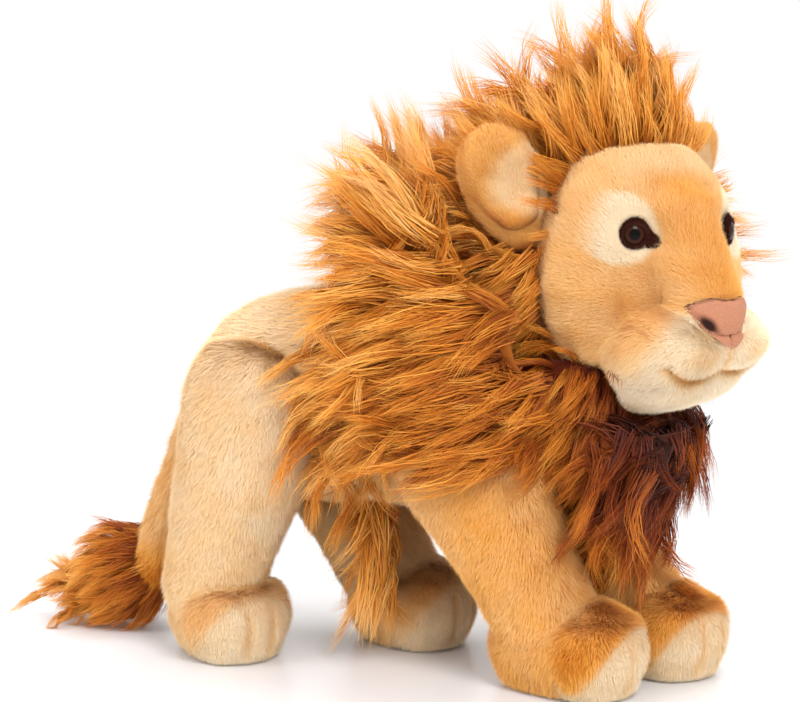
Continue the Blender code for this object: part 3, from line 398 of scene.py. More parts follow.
def comb(mesh, flow, lift, pile, shade, cover):
    """Say on the mesh which way its pile lies, how long and pale it is, and where it grows."""
    normal = facings(mesh)
    flat = flow - normal * np.sum(flow * normal, axis=1, keepdims=True)
    count = len(normal)
    tilt = np.broadcast_to(lift, (count,)).reshape(-1, 1)
    lying = unit(unit(flat) * np.cos(tilt) + normal * np.sin(tilt))
    field = mesh.attributes.new("flow", "FLOAT_VECTOR", "POINT")
    field.data.foreach_set("vector", lying.astype(np.float32).ravel())
    for name, values in (("pile", pile), ("shade", shade), ("cover", cover)):
        layer = mesh.attributes.new(name, "FLOAT", "POINT")
        layer.data.foreach_set("value", np.broadcast_to(values, (count,)).astype(np.float32))


print("tools for stuffed forms are ready")

# %% [markdown]
# ## Strands
# Short pile is a thin flat blade that bends over. Long pile hangs together in locks: many ribbons
# that leave the backing side by side and meet in a point. Each is made once, one unit long, and
# Geometry Nodes plant it over a stuffed form, turned to the way that the pile was combed.

# %% One blade and one lock


def template(name, ribbons):
    """A mesh of ribbons. Each point says how far it is from root to tip, and on which side it is."""
    work = bmesh.new()
    along = work.verts.layers.float.new("along")
    side = work.verts.layers.float.new("side")
    for rows in ribbons:
        before = None
        for pair, t, marks in rows:
            verts = [work.verts.new(point) for point in pair]
            for vertex, mark in zip(verts, marks):
                vertex[along], vertex[side] = t, mark
            if before is not None:
                work.faces.new(before + verts[::-1])
            before = verts
    mesh = bpy.data.meshes.new(name)
    work.to_mesh(mesh)
    work.free()
    smooth(mesh)
    return bpy.data.objects.new(name, mesh)


def ribbon(path, width, twist, marks):
    """Pairs of points either side of a path, narrowing to one point at the tip."""
    rows = []
    last = len(path) - 1
    for index, point in enumerate(path):
        t = index / last
        ahead = path[min(index + 1, last)] - path[max(index - 1, 0)]
        across = Vector((cos(twist), 0, sin(twist))).cross(ahead).cross(ahead).normalized()
        half = across * (width / 2 * (1 - t**1.5) ** 0.8)
        rows.append(((point - half, point + half), t, marks) if index < last else ((point,), t, marks[1:]))
    return rows


def blade(name, lean):
    """One short fibre, a narrow triangle one unit long."""
    return template(name, [ribbon([Vector((0, 0, 0)), Vector((lean, 1, 0.1))], 1.0, 0.0, (0.0, 1.0))])


def lock(name, seed, strands, segments, spread, width, curl, droop):
    """A lock of long pile, one unit long, growing along +Y with the backing below it."""
    random = np.random.default_rng(seed)
    ribbons = []
    for _ in range(strands):
        angle, radius = random.uniform(0, 2 * pi), spread * random.uniform(0, 1) ** 0.5
        length = random.uniform(0.72, 1.0)
        root = Vector((radius * cos(angle), random.uniform(-0.5, 0.5) * spread, radius * sin(angle) * 0.5))
        wave, phase = random.uniform(0.0, 0.035), random.uniform(0, 2 * pi)
        stray, tone = random.normal(0, 0.05), random.uniform(-8, 7)
        path = []
        for index in range(segments + 1):
            t = index / segments
            near = (1 - t) ** 0.9 * 0.95 + 0.05
            x = root.x * near + curl * t * t + stray * t * t + wave * sin(4 * t + phase)
            z = root.z * near + droop * t * (1 - t) * 2 - droop * 0.5 * t * t + wave * cos(5 * t + phase)
            z -= 0.07 * (1 - t) ** 2
            path.append(Vector((x, root.y + length * t, z)))
        ribbons.append(ribbon(path, width, random.uniform(-1.3, 1.3), (tone, tone + 1.0)))
    return template(name, ribbons)


def kit(name, members):
    made = bpy.data.collections.new(name)
    for member in members:
        made.objects.link(member)
    return made


BLADES = kit("blades", [blade("blade_%d" % index, lean) for index, lean in enumerate((-0.1, 0.0, 0.1))])
CURL_AND_DROOP = ((0.10, 0.18), (-0.12, 0.26), (0.03, 0.34), (-0.04, 0.12), (0.2, 0.22))
LOCKS = kit("locks", [
    lock("lock_%d" % index, index + 1, 36, 4, 0.13, 0.012, *bend) for index, bend in enumerate(CURL_AND_DROOP)
])

# %% The planting tree
# Roots keep this share of their mean spacing clear of each other, found with this many tries for each.
CLEARANCE, TRIES = 0.65, 1.7


TREE_INPUTS = (
    ("Backing", "Geometry", None), ("Strands", "Collection", None), ("Density", "Float", 1e5),
    ("Length", "Float", 5 * MM), ("Width", "Float", 0.5 * MM), ("Variation", "Float", 0.25),
    ("Tousle", "Float", 0.3), ("Tousle scale", "Float", 120.0), ("Stray", "Float", 0.2),
    ("Shade spread", "Float", 0.05), ("Seed", "Int", 1), ("Finish", "Material", None),
)


def planting_tree():
    tree = bpy.data.node_groups.new("Planted pile", "GeometryNodeTree")
    for name, kind, value in TREE_INPUTS:
        socket(tree, name, "NodeSocket" + kind, value)
    socket(tree, "Pile", "NodeSocketGeometry", way="OUTPUT")
    start = node(tree, "NodeGroupInput").outputs

    def field(name, kind="FLOAT"):
        return wired(tree, "GeometryNodeInputNamedAttribute", {"Name": name}, data_type=kind)

    def vector(operation, first, second=(0, 0, 0)):
        key = "Scale" if operation == "SCALE" else 1
        return wired(tree, "ShaderNodeVectorMath", {0: first, key: second}, operation=operation)

    def chance(kind, low, high, shift):
        made = node(tree, "FunctionNodeRandomValue", data_type=kind)
        live = [item for item in made.inputs if item.enabled]
        feed(tree, live[0], low)
        feed(tree, live[1], high)
        feed(tree, made.inputs["Seed"], maths(tree, "ADD", start["Seed"], shift))
        return next(item for item in made.outputs if item.enabled)

    def stored(geometry, name, value, kind, domain):
        sources = {"Geometry": geometry, "Name": name, "Value": value}
        return wired(tree, "GeometryNodeStoreNamedAttribute", sources, data_type=kind, domain=domain)

    roots = wired(tree, "GeometryNodeDistributePointsOnFaces", {
        "Mesh": start["Backing"],
        "Distance Min": maths(tree, "MULTIPLY", maths(tree, "POWER", start["Density"], -0.5), CLEARANCE),
        "Density Max": maths(tree, "MULTIPLY", start["Density"], TRIES),
        "Density Factor": field("cover"),
        "Seed": start["Seed"],
    }, distribute_method="POISSON")

    place = node(tree, "GeometryNodeInputPosition").outputs[0]
    swirl = wired(tree, "ShaderNodeTexNoise", {"Vector": place, "Scale": start["Tousle scale"], "Detail": 2.0})
    swerve = vector("SUBTRACT", swirl.node.outputs["Color"], (0.5, 0.5, 0.5))
    lean = vector("SCALE", swerve, maths(tree, "MULTIPLY", start["Tousle"], 4.0))
    stray = vector("SCALE", chance("FLOAT_VECTOR", (-1, -1, -1), (1, 1, 1), 3), start["Stray"])
    heading = vector("NORMALIZE", vector("ADD", vector("ADD", field("flow", "FLOAT_VECTOR"), lean), stray))
    axes = {"Primary Axis": heading, "Secondary Axis": roots.node.outputs["Normal"]}
    turn = wired(tree, "FunctionNodeAxesToRotation", axes, primary_axis="Y", secondary_axis="Z")

    low = maths(tree, "SUBTRACT", 1.0, start["Variation"])
    high = maths(tree, "ADD", 1.0, start["Variation"])
    grow = maths(tree, "MULTIPLY", field("pile"), chance("FLOAT", low, high, 5))
    length = maths(tree, "MULTIPLY", start["Length"], grow)
    width = maths(tree, "MULTIPLY", start["Width"], grow)
    choice = {"Collection": start["Strands"], "Separate Children": True}
    plant = wired(tree, "GeometryNodeInstanceOnPoints", {
        "Points": roots,
        "Instance": wired(tree, "GeometryNodeCollectionInfo", choice),
        "Pick Instance": True,
        "Instance Index": chance("INT", 0, 20, 7),
        "Rotation": turn,
        "Scale": wired(tree, "ShaderNodeCombineXYZ", {0: width, 1: length, 2: length}),
    })

    blotch = {"Vector": place, "Scale": maths(tree, "MULTIPLY", start["Tousle scale"], 0.6)}
    patch = maths(tree, "SUBTRACT", wired(tree, "ShaderNodeTexNoise", blotch), 0.5)
    mottle = maths(tree, "MULTIPLY", patch, start["Shade spread"])
    jitter = maths(tree, "MULTIPLY", chance("FLOAT", -1.0, 1.0, 11), start["Shade spread"])
    tint = maths(tree, "ADD", maths(tree, "MULTIPLY_ADD", mottle, 3.0, field("shade")), jitter)
    tint = maths(tree, "MINIMUM", maths(tree, "MAXIMUM", tint, 0.02), 0.97)
    real = wired(tree, "GeometryNodeRealizeInstances", {0: stored(plant, "tint", tint, "FLOAT", "INSTANCE")})

    along = maths(tree, "MULTIPLY_ADD", field("along"), 0.96, 0.02)
    side = maths(tree, "MULTIPLY_ADD", field("side"), 0.01, field("tint"))
    chart = wired(tree, "ShaderNodeCombineXYZ", {0: along, 1: side})
    mapped = stored(real, PILE_MAP, chart, "FLOAT2", "CORNER")
    coat = wired(tree, "GeometryNodeSetMaterial", {"Geometry": mapped, "Material": start["Finish"]})
    feed(tree, node(tree, "NodeGroupOutput").inputs[0], coat)
    return tree


PLANTED = planting_tree()
TOTALS = {}


def within(points):
    """Fibres that would stray out of the lion's own space bend back into it."""
    low, high = np.array(cad_box)
    middle, half = (low + high) / 2, (high - low) / 2 + 0.025 * (high - low) + 9 * MM
    share = (points - middle) / half
    over = np.maximum(np.abs(share) - 0.9, 0)
    share = np.sign(share) * (np.minimum(np.abs(share), 0.9) + 0.1 * np.tanh(over / 0.1))
    share[:, 2] = np.where(points[:, 2] < middle[2], (points[:, 2] - middle[2]) / half[2], share[:, 2])
    inside = middle + share * half
    inside[:, 2] = np.maximum(inside[:, 2], 0.4 * MM)
    return inside


def plant_pile(name, backing, body, strands, finish, **sizes):
    """Plant strands over a combed form, and keep them as one plain mesh on its body."""
    item = link(name, backing.data.copy())
    item.data.name = name
    modifier = item.modifiers.new("pile", "NODES")
    modifier.node_group = PLANTED
    keys = {
        entry.name: entry.identifier
        for entry in PLANTED.interface.items_tree
        if entry.item_type == "SOCKET" and entry.in_out == "INPUT"
    }
    modifier[keys["Strands"]] = strands
    modifier[keys["Finish"]] = finish
    for key, value in sizes.items():
        modifier[keys[key.capitalize().replace("_", " ")]] = value
    item.update_tag()
    plain(item)
    set_places(item.data, within(places(item.data)))
    for layer in ("flow", "pile", "shade", "cover", "tint", "along", "side"):
        found = item.data.attributes.get(layer)
        if found is not None:
            item.data.attributes.remove(found)
    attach(item, body)
    item.data.calc_loop_triangles()
    TOTALS[name] = len(item.data.loop_triangles)
    print(name, TOTALS[name], "triangles")
    return item


print("planting tree:", len(PLANTED.nodes), "nodes")

# %% [markdown]
# ## The stuffed forms
# Torso, legs, tail and head are each melted from their frame nodes. The mane has cores too: forms
# a little inside its outline, on which the locks are planted like thatch on a roof.
# A strand is only planted where its root isn't buried in a neighbour.

# %% Melt every form
PIVOT = np.array(next(joint["pos_m"] for joint in frame["joints"] if joint["name"] == "head_turn"))
HIP_MIDDLE = PIVOT - np.array((0, -117, 203)) * MM
LEGS = {
    "hind_leg_right": ((-28, 87), -32, 31),
    "hind_leg_left": ((28, 9), -14, 31),
    "front_leg_right": ((-26, -92), -8, 35),
    "front_leg_left": ((26, -120), -26, 35),
}
TORSO_NODES = ("torso_skin", "torso_filling")
TAIL_NODES = ("tail_skin", "tail_filling")
FACE_NODES = ("head_skin", "head_filling", "muzzle_skin")
CAPE_NODES = ("mane_cape", "chest_mane", "belly_fringe")

torso = stuffed("torso_stuffed", TORSO_NODES, relax=14, puff=1.4 * MM)
LEG_NODES = {leg: (leg + "_skin", leg + "_filling", leg + "_toe_panel") for leg in LEGS}
limbs = {leg: stuffed(leg + "_stuffed", LEG_NODES[leg], relax=8, puff=2.4 * MM) for leg in LEGS}
tail = stuffed("tail_stuffed", TAIL_NODES, relax=6, puff=1.6 * MM)
tuft = stuffed("tuft_core", ("tail_tuft",) + TAIL_NODES, voxel=3 * MM, relax=12, puff=-9 * MM)
head = stuffed("head_stuffed", FACE_NODES, voxel=1.7 * MM, relax=14, puff=1.6 * MM)
core = stuffed("head_mane_core", ("head_mane",) + FACE_NODES, voxel=3 * MM, relax=10, puff=-8 * MM)
cape = stuffed("cape_core", CAPE_NODES + TORSO_NODES, voxel=3 * MM, relax=10, puff=-9 * MM)


def noise(points, size, seed):
    """A slow wander between -1 and 1, from a few sine waves in fixed random directions."""
    random = np.random.default_rng(seed)
    total = np.zeros(len(points))
    for _ in range(5):
        direction = random.normal(size=3)
        direction *= 2 * pi / size / np.linalg.norm(direction) * random.uniform(0.7, 1.4)
        total += np.sin(points @ direction + random.uniform(0, 2 * pi))
    return total / 3


def own(points):
    """The points measured from the middle of the lion's stance."""
    return points - HIP_MIDDLE


def bare(points, *others, margin=1.5 * MM):
    """1 where a point is outside the other forms, 0 where it lies deeper in one than the margin."""
    free = np.ones(len(points))
    for other in others:
        tree = tree_of(other)
        for index, point in enumerate(points):
            if free[index]:
                spot, normal, _, _ = tree.find_nearest(point)
                if (Vector(point) - spot).dot(normal) < -margin:
                    free[index] = 0
    return free


def columns(*values):
    count = max(len(value) for value in values if np.ndim(value))
    return np.column_stack([np.broadcast_to(value, (count,)) for value in values])


def dress_body(name, item, nodes, finish=BACKING):
    item.data.materials.append(finish)
    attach(item, name)
    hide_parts(*nodes)


print("forms:", {item.name: len(item.data.vertices) for item in (torso, tail, head, core, cape)})

# %% [markdown]
# ## Torso
# A barrel of plush with the pile combed back and down. The cape of long pile hides its front half,
# so short pile is planted only where it shows.

# %% The torso
at = places(torso.data)
y = own(at)[:, 1]
at[:, 1] -= 9 * MM * slope(y, 50, 100) * slope(at[:, 2], 128, 168)
set_places(torso.data, at)
up = facings(torso.data)
# Painted shade: under the mane the torso is made dark, where the mane's shadow falls.
under_mane = 1 - slope(y, -67, -37)
# Painted light: paler where the torso faces up, as the light falls from above.
shade = 0.80 + 0.05 * up[:, 2] + 0.03 * noise(at, 60 * MM, 4)
shade = shade * (1 - under_mane) + 0.16 * under_mane
open_back = slope(y, -27, -7)
show = open_back * bare(at, *limbs.values(), margin=3.5 * MM)
comb(torso.data, columns(0, 0.9, -0.5 + 0 * shade), radians(28), 1.0, shade, show)
plant_pile("torso_pile", torso, "torso", BLADES, SHORT_PILE, density=5.4e6, length=5.4 * MM,
           width=0.55 * MM, tousle=0.14, seed=3)
dress_body("torso", torso, TORSO_NODES)

# %% [markdown]
# ## Legs
# Four stuffed limbs. The paws are sewn with short creases that draw the cloth in between the toes,
# and a cream toe panel ends in an airbrushed orange band.

# %% The legs
CREASES = (-6.5 * MM, 7 * MM)
CREASE_DEPTH, SOLE_FILL, FLOOR_GAP = 2.4 * MM, 2.6 * MM, 0.6 * MM
THIGH_BACK, THIGH_TRIM = 88 * MM, 0.24
HIND_SHADE, FRONT_SHADE, TOE_SHADE = 0.81, 0.61, 0.90
TOE_PATCH = ((0, 14), (25, 21))


def leg_frame(points, centre, turn):
    """The points seen from the paw: x across, y back from the toes, z up."""
    angle = radians(turn)
    x, y = own(points)[:, 0] - centre[0] * MM, own(points)[:, 1] - centre[1] * MM
    return x * cos(angle) + y * sin(angle), -x * sin(angle) + y * cos(angle), points[:, 2]


for leg, (centre, turn, half) in LEGS.items():
    item = limbs[leg]
    half = half * MM
    tone = HIND_SHADE if "hind" in leg else FRONT_SHADE
    at = places(item.data)
    up = facings(item.data)
    x, y, z = leg_frame(at, centre, turn)
    front = step(-y, half * 0.40, half * 0.7) * slope(z, 3, 8) * (1 - slope(z, 27, 34))
    dent = sum(bell(x, crease, 1.6 * MM) for crease in CREASES)
    at -= up * (dent * front * CREASE_DEPTH)[:, None]
    round_sole = step(np.hypot(up[:, 0], up[:, 1]), 0.2, 0.6) * (1 - slope(z, 0, 11))
    at += unit(columns(up[:, 0], up[:, 1], 0)) * (round_sole * SOLE_FILL)[:, None]
    at[:, 2] = np.maximum(at[:, 2], FLOOR_GAP)
    at[:, 1] -= THIGH_TRIM * np.maximum(own(at)[:, 1] - THIGH_BACK, 0) * slope(z, 70, 120)
    set_places(item.data, at)
    ahead = step(-y, half * 0.10, half * 0.35)
    reach = oval(x, z, *TOE_PATCH)
    toe = (1 - step(reach, 0.90, 1.04)) * ahead
    band = bell(reach, 1.18, 0.16) * ahead * slope(z, 4, 12)
    sole = step(-up[:, 2], 0.95, 0.99) * (1 - slope(z, 0.9, 1.2))
    low = 1 - slope(z, 18, 40)
    shade = tone + 0.04 * noise(at, 50 * MM, len(leg)) - 0.03 * low - 0.10 * band
    shade = shade * (1 - toe) + TOE_SHADE * toe - 0.18 * front * dent
    flow = columns(0 * x, 0.25 - 0.25 * low, -1.0)
    cover = (1 - sole) * bare(at, torso, margin=3.5 * MM)
    comb(item.data, flow, radians(30), 1.0 - 0.35 * toe, shade, cover)
    plant_pile(leg + "_pile", item, leg, BLADES, SHORT_PILE, density=5.5e6, length=4.8 * MM,
               width=0.5 * MM, tousle=0.18, seed=7 + len(TOTALS))
    dress_body(leg, item, LEG_NODES[leg])

# %% [markdown]
# ## Tail
# A thin stuffed tail that hangs down and back, and ends in a tuft of long rust pile.

# %% The tail and its tuft
at = places(tail.data)
z = at[:, 2]
comb(tail.data, columns(0 * z, 0.35, -1.0), radians(25), 1.0, 0.68 - 0.3 * (1 - slope(z, 30, 60)),
     bare(at, torso))
plant_pile("tail_pile", tail, "tail", BLADES, SHORT_PILE, density=5.0e6, length=5.0 * MM,
           width=0.5 * MM, seed=21)
dress_body("tail", tail, TAIL_NODES)

at = places(tuft.data)
x, y, z = own(at).T
along = slope(y, 126, 206)
flow = columns(x, 0.060, (z - 30 * MM) * 0.5 - 0.034)
show = slope(y, 122, 130) * (1 - slope(z, 54, 64))
tone = 0.33 + 0.26 * along + 0.05 * noise(at, 20 * MM, 2)
lift = radians(8) + radians(14) * slope(z, 20, 50)
comb(tuft.data, flow, lift, 1.2 - 0.35 * along, tone, show)
plant_pile("tuft_pile", tuft, "tail", LOCKS, LONG_PILE, density=62000.0, length=25 * MM, width=25 * MM,
           tousle=0.10, tousle_scale=45.0, stray=0.10, shade_spread=0.07, seed=31)
dress_body("tail", tuft, ("tail_tuft",), finish=MANE_BACKING)

# %% [markdown]
# ## Head
# The head carries the face: a rounded skull, a broad bridge down to the nose, two muzzle pads over
# a chin, and cream patches round the eyes. The creases are drawn in where the real seams pull.

# %% The head's own frame
TURN = radians(-32)
SPIN = np.array(((cos(TURN), -sin(TURN), 0), (sin(TURN), cos(TURN), 0), (0, 0, 1)))


def to_head(points):
    return (points - PIVOT) @ SPIN


def from_head(points):
    return points @ SPIN.T + PIVOT


def turned(vectors):
    return vectors @ SPIN.T


# %% The face
# Each oval is its middle and its radii in the front view of the face, in mm: across, and up.
EYE = (28, 14)
EYE_PATCH = ((34, 16), (15.5, 16))
MUZZLE = ((0, -45), (36, 28))
NOSE_BED = ((0, -24), (16, 11))
NOSE_CLEAR = ((0, -24.5), (15, 10))
EYE_SOCKET, BROW, LIP_PAD = ((24, 12), (9, 7)), ((24, 26), (13, 6)), ((15, -39), (11, 9))
FACE_SHADE, PATCH_SHADE, MUZZLE_SHADE = 0.71, 1.0, 0.95

world = places(head.data)
at = to_head(world)
up = facings(head.data) @ SPIN
x, y, z = at[:, 0], at[:, 1], at[:, 2]
front = slope(-y, 10, 26)
side = np.abs(x)
socket_dent = np.exp(-oval(side, z, *EYE_SOCKET) ** 2) * front
brow = np.exp(-oval(side, z, *BROW) ** 2) * front
slot_z = slope(-z, 34, 38) * (1 - slope(-z, 46, 50))
philtrum = bell(x, 0, 1.8 * MM) * slope(-y, 44, 50) * slot_z
smile = -49 * MM - 5 * MM * bell(side, 14 * MM, 12 * MM) + 3 * MM * slope(side, 20, 34)
mouth = bell(z, smile, 1.9 * MM) * slope(-y, 20, 32) * (1 - slope(side, 27, 33))
pad = np.exp(-oval(side, z, *LIP_PAD) ** 2) * slope(-y, 38, 50)
seam = bell(side, 33 * MM + (z + 20 * MM) * 0.15, 2.4 * MM) * (1 - slope(z, -16, 0))
seam = seam * slope(-y, 6, 14) * slope(z, -56, -40)
nose_bed = (1 - step(oval(x, z, *NOSE_BED), 0.8, 1.1)) * slope(-y, 30, 40)
eye_gap = MM * oval(side, z, EYE, (1, 1))
eye_bed = bell(eye_gap, 0, 7 * MM) * front
move = -2.6 * socket_dent + 1.8 * brow - 2.2 * philtrum - 3.2 * mouth + 2.2 * pad - 1.2 * seam
move = move - 1.5 * nose_bed - 3.0 * eye_bed
at = at + up * (move * MM)[:, None]
jaw = slope(-z, 24, 46) * slope(-y, 16, 36)
at[:, 2] += jaw * (3.0 + 4.0 * slope(x, -12, 24)) * MM
at[:, 1] += 4.0 * MM * slope(-z, 44, 62) * slope(-y, 16, 36)
set_places(head.data, from_head(at))

patch = (1 - step(oval(side, z, *EYE_PATCH), 0.88, 1.12)) * front
muzzle = (1 - step(oval(x, z, *MUZZLE), 0.9, 1.1)) * slope(-y, 14, 24)
forehead = slope(z, 34, 46) * front
bridge = bell(x, 0, 17 * MM) * slope(-y, 20, 32) * (1 - muzzle) * (1 - forehead)
cheek = slope(side, 32, 44) * (1 - slope(z, 0, 12))
shade = FACE_SHADE + 0.10 * forehead - 0.12 * bridge - 0.03 * cheek
shade = shade * (1 - patch) + PATCH_SHADE * patch
shade = shade * (1 - muzzle) + MUZZLE_SHADE * muzzle
airbrush = muzzle * bell(z, -43 * MM, 4 * MM) * slope(side, 6, 12)
airbrush = airbrush * (1 - slope(side, 20, 28))
shade = shade - 0.30 * mouth - 0.35 * philtrum - 0.12 * airbrush - 0.05 * seam
away = columns(x, 12 * MM, z + 20 * MM)
droop = columns(x * 1.2, 20 * MM, -30 * MM)
flow = turned(unit(away) * (1 - muzzle[:, None]) + unit(droop) * muzzle[:, None])
near_eye = (1 - slope(eye_gap, 6.0, 7.2)) * front
near_nose = (1 - step(oval(x, z, *NOSE_CLEAR), 0.88, 1.0)) * slope(-y, 30, 40)
length = 0.8 + 0.35 * slope(y, -10, 10)
length = length * (0.55 + 0.45 * slope(eye_gap, 7, 14))
show = (1 - slope(y, 20, 30)) * (1 - 0.5 * mouth) * (1 - near_eye) * (1 - near_nose)
comb(head.data, flow, radians(32), length, shade + 0.02 * noise(world, 25 * MM, 9), show)
plant_pile("head_pile", head, "head", BLADES, SHORT_PILE, density=6.4e6, length=3.8 * MM, width=0.46 * MM,
           tousle=0.14, stray=0.24, shade_spread=0.025, seed=41)
dress_body("head", head, FACE_NODES + ("eye_patch_right", "eye_patch_left"))

# %% [markdown]
# ## Nose
# A terracotta velour pad, cut as a wide rounded triangle. Its nostrils are pressed in and dyed dark,
# and a dark thread holds its top edge. It is laid out flat and then wrapped over the muzzle.

# %% Shapes that are wrapped over the face
face_tree = tree_of(head)


AHEAD_OF_FACE = -0.12
INTO_FACE = Vector(turned(np.array(((0, 1, 0),)))[0])


def on_face(x, z):
    """The point of the face behind a spot of its front view, and the way that it faces."""
    start = Vector(from_head(np.array(((x, AHEAD_OF_FACE, z),)))[0])
    spot, normal, _, _ = face_tree.ray_cast(start, INTO_FACE)
    return spot, normal


def stitched(work, rows, name):
    """One mesh from closed rows of points, each row joined to the next by a band of faces."""
    for low, high in zip(rows, rows[1:]):
        for part, point in enumerate(high):
            after = (part + 1) % len(high)
            if len(low) == 1:
                work.faces.new((low[0], point, high[after]))
            else:
                work.faces.new((low[part], point, high[after], low[after]))
    bmesh.ops.recalc_face_normals(work, faces=work.faces)
    return built(work, name)


def rounded(corners, steps):
    """A closed smooth outline through the corners."""
    made = []
    total = len(corners)
    for index in range(total):
        p0, p1, p2, p3 = (np.array(corners[(index + shift) % total], float) for shift in (-1, 0, 1, 2))
        for part in range(steps):
            t = part / steps
            made.append((2 * p1 + (p2 - p0) * t + (2 * p0 - 5 * p1 + 4 * p2 - p3) * t**2
                         + (3 * p1 - p0 - 3 * p2 + p3) * t**3) / 2)
    return np.array(made)


def wrapped(name, outline, centre, rings, lift, marks):
    """A pad over the face inside an outline, raised by lift(x, z, r), with marks(x, z, r) painted."""
    work = bmesh.new()
    layer = work.verts.layers.float.new("mark")
    rows = []
    for ring in range(rings + 1):
        r = ring / rings
        row = []
        for point in (outline if ring else outline[:1]):
            px, pz = centre + (point - centre) * r
            spot, normal = on_face(px, pz)
            vertex = work.verts.new(spot + normal * lift(px, pz, r))
            vertex[layer] = marks(px, pz, r)
            row.append(vertex)
        rows.append(row)
    item = stitched(work, rows, name)
    smooth(item.data)
    return item


# %% The nose
NOSE_CORNERS = (
    (-16, -16.5), (-8.5, -13.5), (0, -14.5), (8.5, -13.5), (16, -16.5), (15.5, -21), (11, -29), (4, -35.5),
    (0, -37), (-4, -35.5), (-11, -29), (-15.5, -21),
)
outline = rounded(NOSE_CORNERS, 8) * MM


def nostril(x, z):
    across, rise = abs(x) - 9.5 * MM, z + 25.5 * MM
    tilt = radians(38)
    u = across * cos(tilt) - rise * sin(tilt)
    v = across * sin(tilt) + rise * cos(tilt)
    return float(np.exp(-((u / (2.2 * MM)) ** 2 + (v / (4.6 * MM)) ** 2) ** 2))


def nose_lift(x, z, r):
    rim = (1 - r**6) * 2.8 * MM + 0.8 * MM
    return rim - 1.8 * MM * nostril(x, z) - 0.9 * MM * float(bell(np.array(x), 0, 1.2 * MM)) * (z < -29 * MM)


def nose_mark(x, z, r):
    top = float(step(np.array(r), 0.88, 0.97)) * (z > -18.5 * MM)
    slit = float(bell(np.array(x), 0, 0.8 * MM)) * (z < -31 * MM)
    return max(nostril(x, z) * 1.1, 0.8 * top, 0.8 * slit)


nose = wrapped("nose_pad", outline, np.array((0, -24 * MM)), 22, nose_lift, nose_mark)
velour, tree, shader = finish("nose_velour_finish", 0.85, 0.08)
nap = grain(tree, 1400.0)
terracotta = blend(tree, nap, dye("#a0654a"), dye("#c48a6c"))
feed(tree, shader.inputs["Base Color"], blend(tree, painted(tree, "mark"), terracotta, dye("#2b120c")))
roughen(tree, shader, nap, 0.35, 0.2 * MM)
nose.data.materials.append(velour)
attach(nose, "head")
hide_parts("nose")
print("nose:", len(nose.data.polygons), "faces")

# %% [markdown]
# ## Eyes
# Plastic safety eyes: a brown dome with a black pupil, very glossy. A dark pile lid lies round each,
# heavier above, drawn out to a tear corner towards the nose, which gives the lion its stern look.

# %% The eyes
EYE_RADIUS, EYE_HEIGHT, EYE_SPLAY = 6.2 * MM, 3.8 * MM, radians(32)
eye_plastic, tree, shader = finish("eye_plastic_finish", 0.06)
shader.inputs["Specular IOR Level"].default_value = 0.10
IRIS = ((0.0, "#050303"), (0.38, "#0a0504"), (0.50, "#3a1a0a"), (0.80, "#2a1208"), (1.0, "#080403"))
iris = ramp(tree, [(position, dye(code)) for position, code in IRIS], painted(tree, "reach"))
feed(tree, shader.inputs["Base Color"], iris)

for word, sign in (("right", -1), ("left", 1)):
    turn = -sign * EYE_SPLAY
    centre = np.array((sign * 28 * MM, -28.4 * MM, 14 * MM))
    outward = Vector(turned(np.array(((sign * sin(EYE_SPLAY), -cos(EYE_SPLAY), 0),)))[0])
    across = Vector(turned(np.array(((sign * cos(EYE_SPLAY), sin(EYE_SPLAY), 0),)))[0])
    rise = Vector((0, 0, 1))
    spot, _, _, _ = face_tree.ray_cast(Vector(from_head(centre[None])[0]) + outward * 0.03, -outward)
    seat = spot + outward * 2.0 * MM
    work = bmesh.new()
    layer = work.verts.layers.float.new("reach")
    rows = [[work.verts.new(seat + outward * EYE_HEIGHT)]]
    for ring in range(1, 15):
        angle = pi / 2 * ring / 14
        row = []
        for part in range(48):
            a = 2 * pi * part / 48
            radius = EYE_RADIUS * sin(angle)
            vertex = work.verts.new(seat + across * (radius * cos(a)) + rise * (radius * sin(a))
                                    + outward * (EYE_HEIGHT * cos(angle)))
            vertex[layer] = sin(angle)
            row.append(vertex)
        rows.append(row)
    dome = stitched(work, rows, "eye_%s_dome" % word)
    smooth(dome.data)
    dome.data.materials.append(eye_plastic)
    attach(dome, "head")
    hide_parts("eye_" + word)

    work = bmesh.new()
    rows = []
    for ring in range(5):
        r = ring / 4
        row = []
        for part in range(64):
            a = 2 * pi * part / 64
            ca, sa = cos(a), sin(a)
            inner_top = max(0.0, sa) ** 1.5
            corner = np.exp(-(((a - pi - 0.35) / 0.40) ** 2))
            inside = 4.9 * MM - 0.7 * MM * inner_top
            outside = 6.5 * MM + 0.8 * MM * inner_top + 5.5 * MM * corner
            radius = inside + (outside - inside) * r
            flat = seat + across * (radius * ca) + rise * (radius * sa)
            hit, _, _, _ = face_tree.ray_cast(flat + outward * 0.02, -outward)
            height = EYE_HEIGHT * (max(0.0, 1 - (min(radius, EYE_RADIUS) / EYE_RADIUS) ** 2)) ** 0.5
            on_dome = flat + outward * (height + 0.5 * MM)
            on_skin = (hit or flat) + outward * 1.5 * MM * (1 - 0.6 * r)
            row.append(work.verts.new(on_dome if (on_dome - on_skin).dot(outward) > 0 else on_skin))
        rows.append(row)
    lid = stitched(work, rows, "eyelid_%s_felt" % word)
    spread = places(lid.data) - np.array(seat)
    if np.mean(facings(lid.data) @ np.array(outward)) < 0:
        lid.data.flip_normals()
    comb(lid.data, spread, radians(30), 1.0, 0.01, 1.0)
    plant_pile("eyelid_%s_pile" % word, lid, "head", BLADES, LID_PILE, density=3.0e7, length=1.8 * MM,
               width=0.30 * MM, tousle=0.1, stray=0.3, shade_spread=0.02, seed=47 + sign)
    dress_body("head", lid, ("eyelid_" + word,), finish=MANE_BACKING)

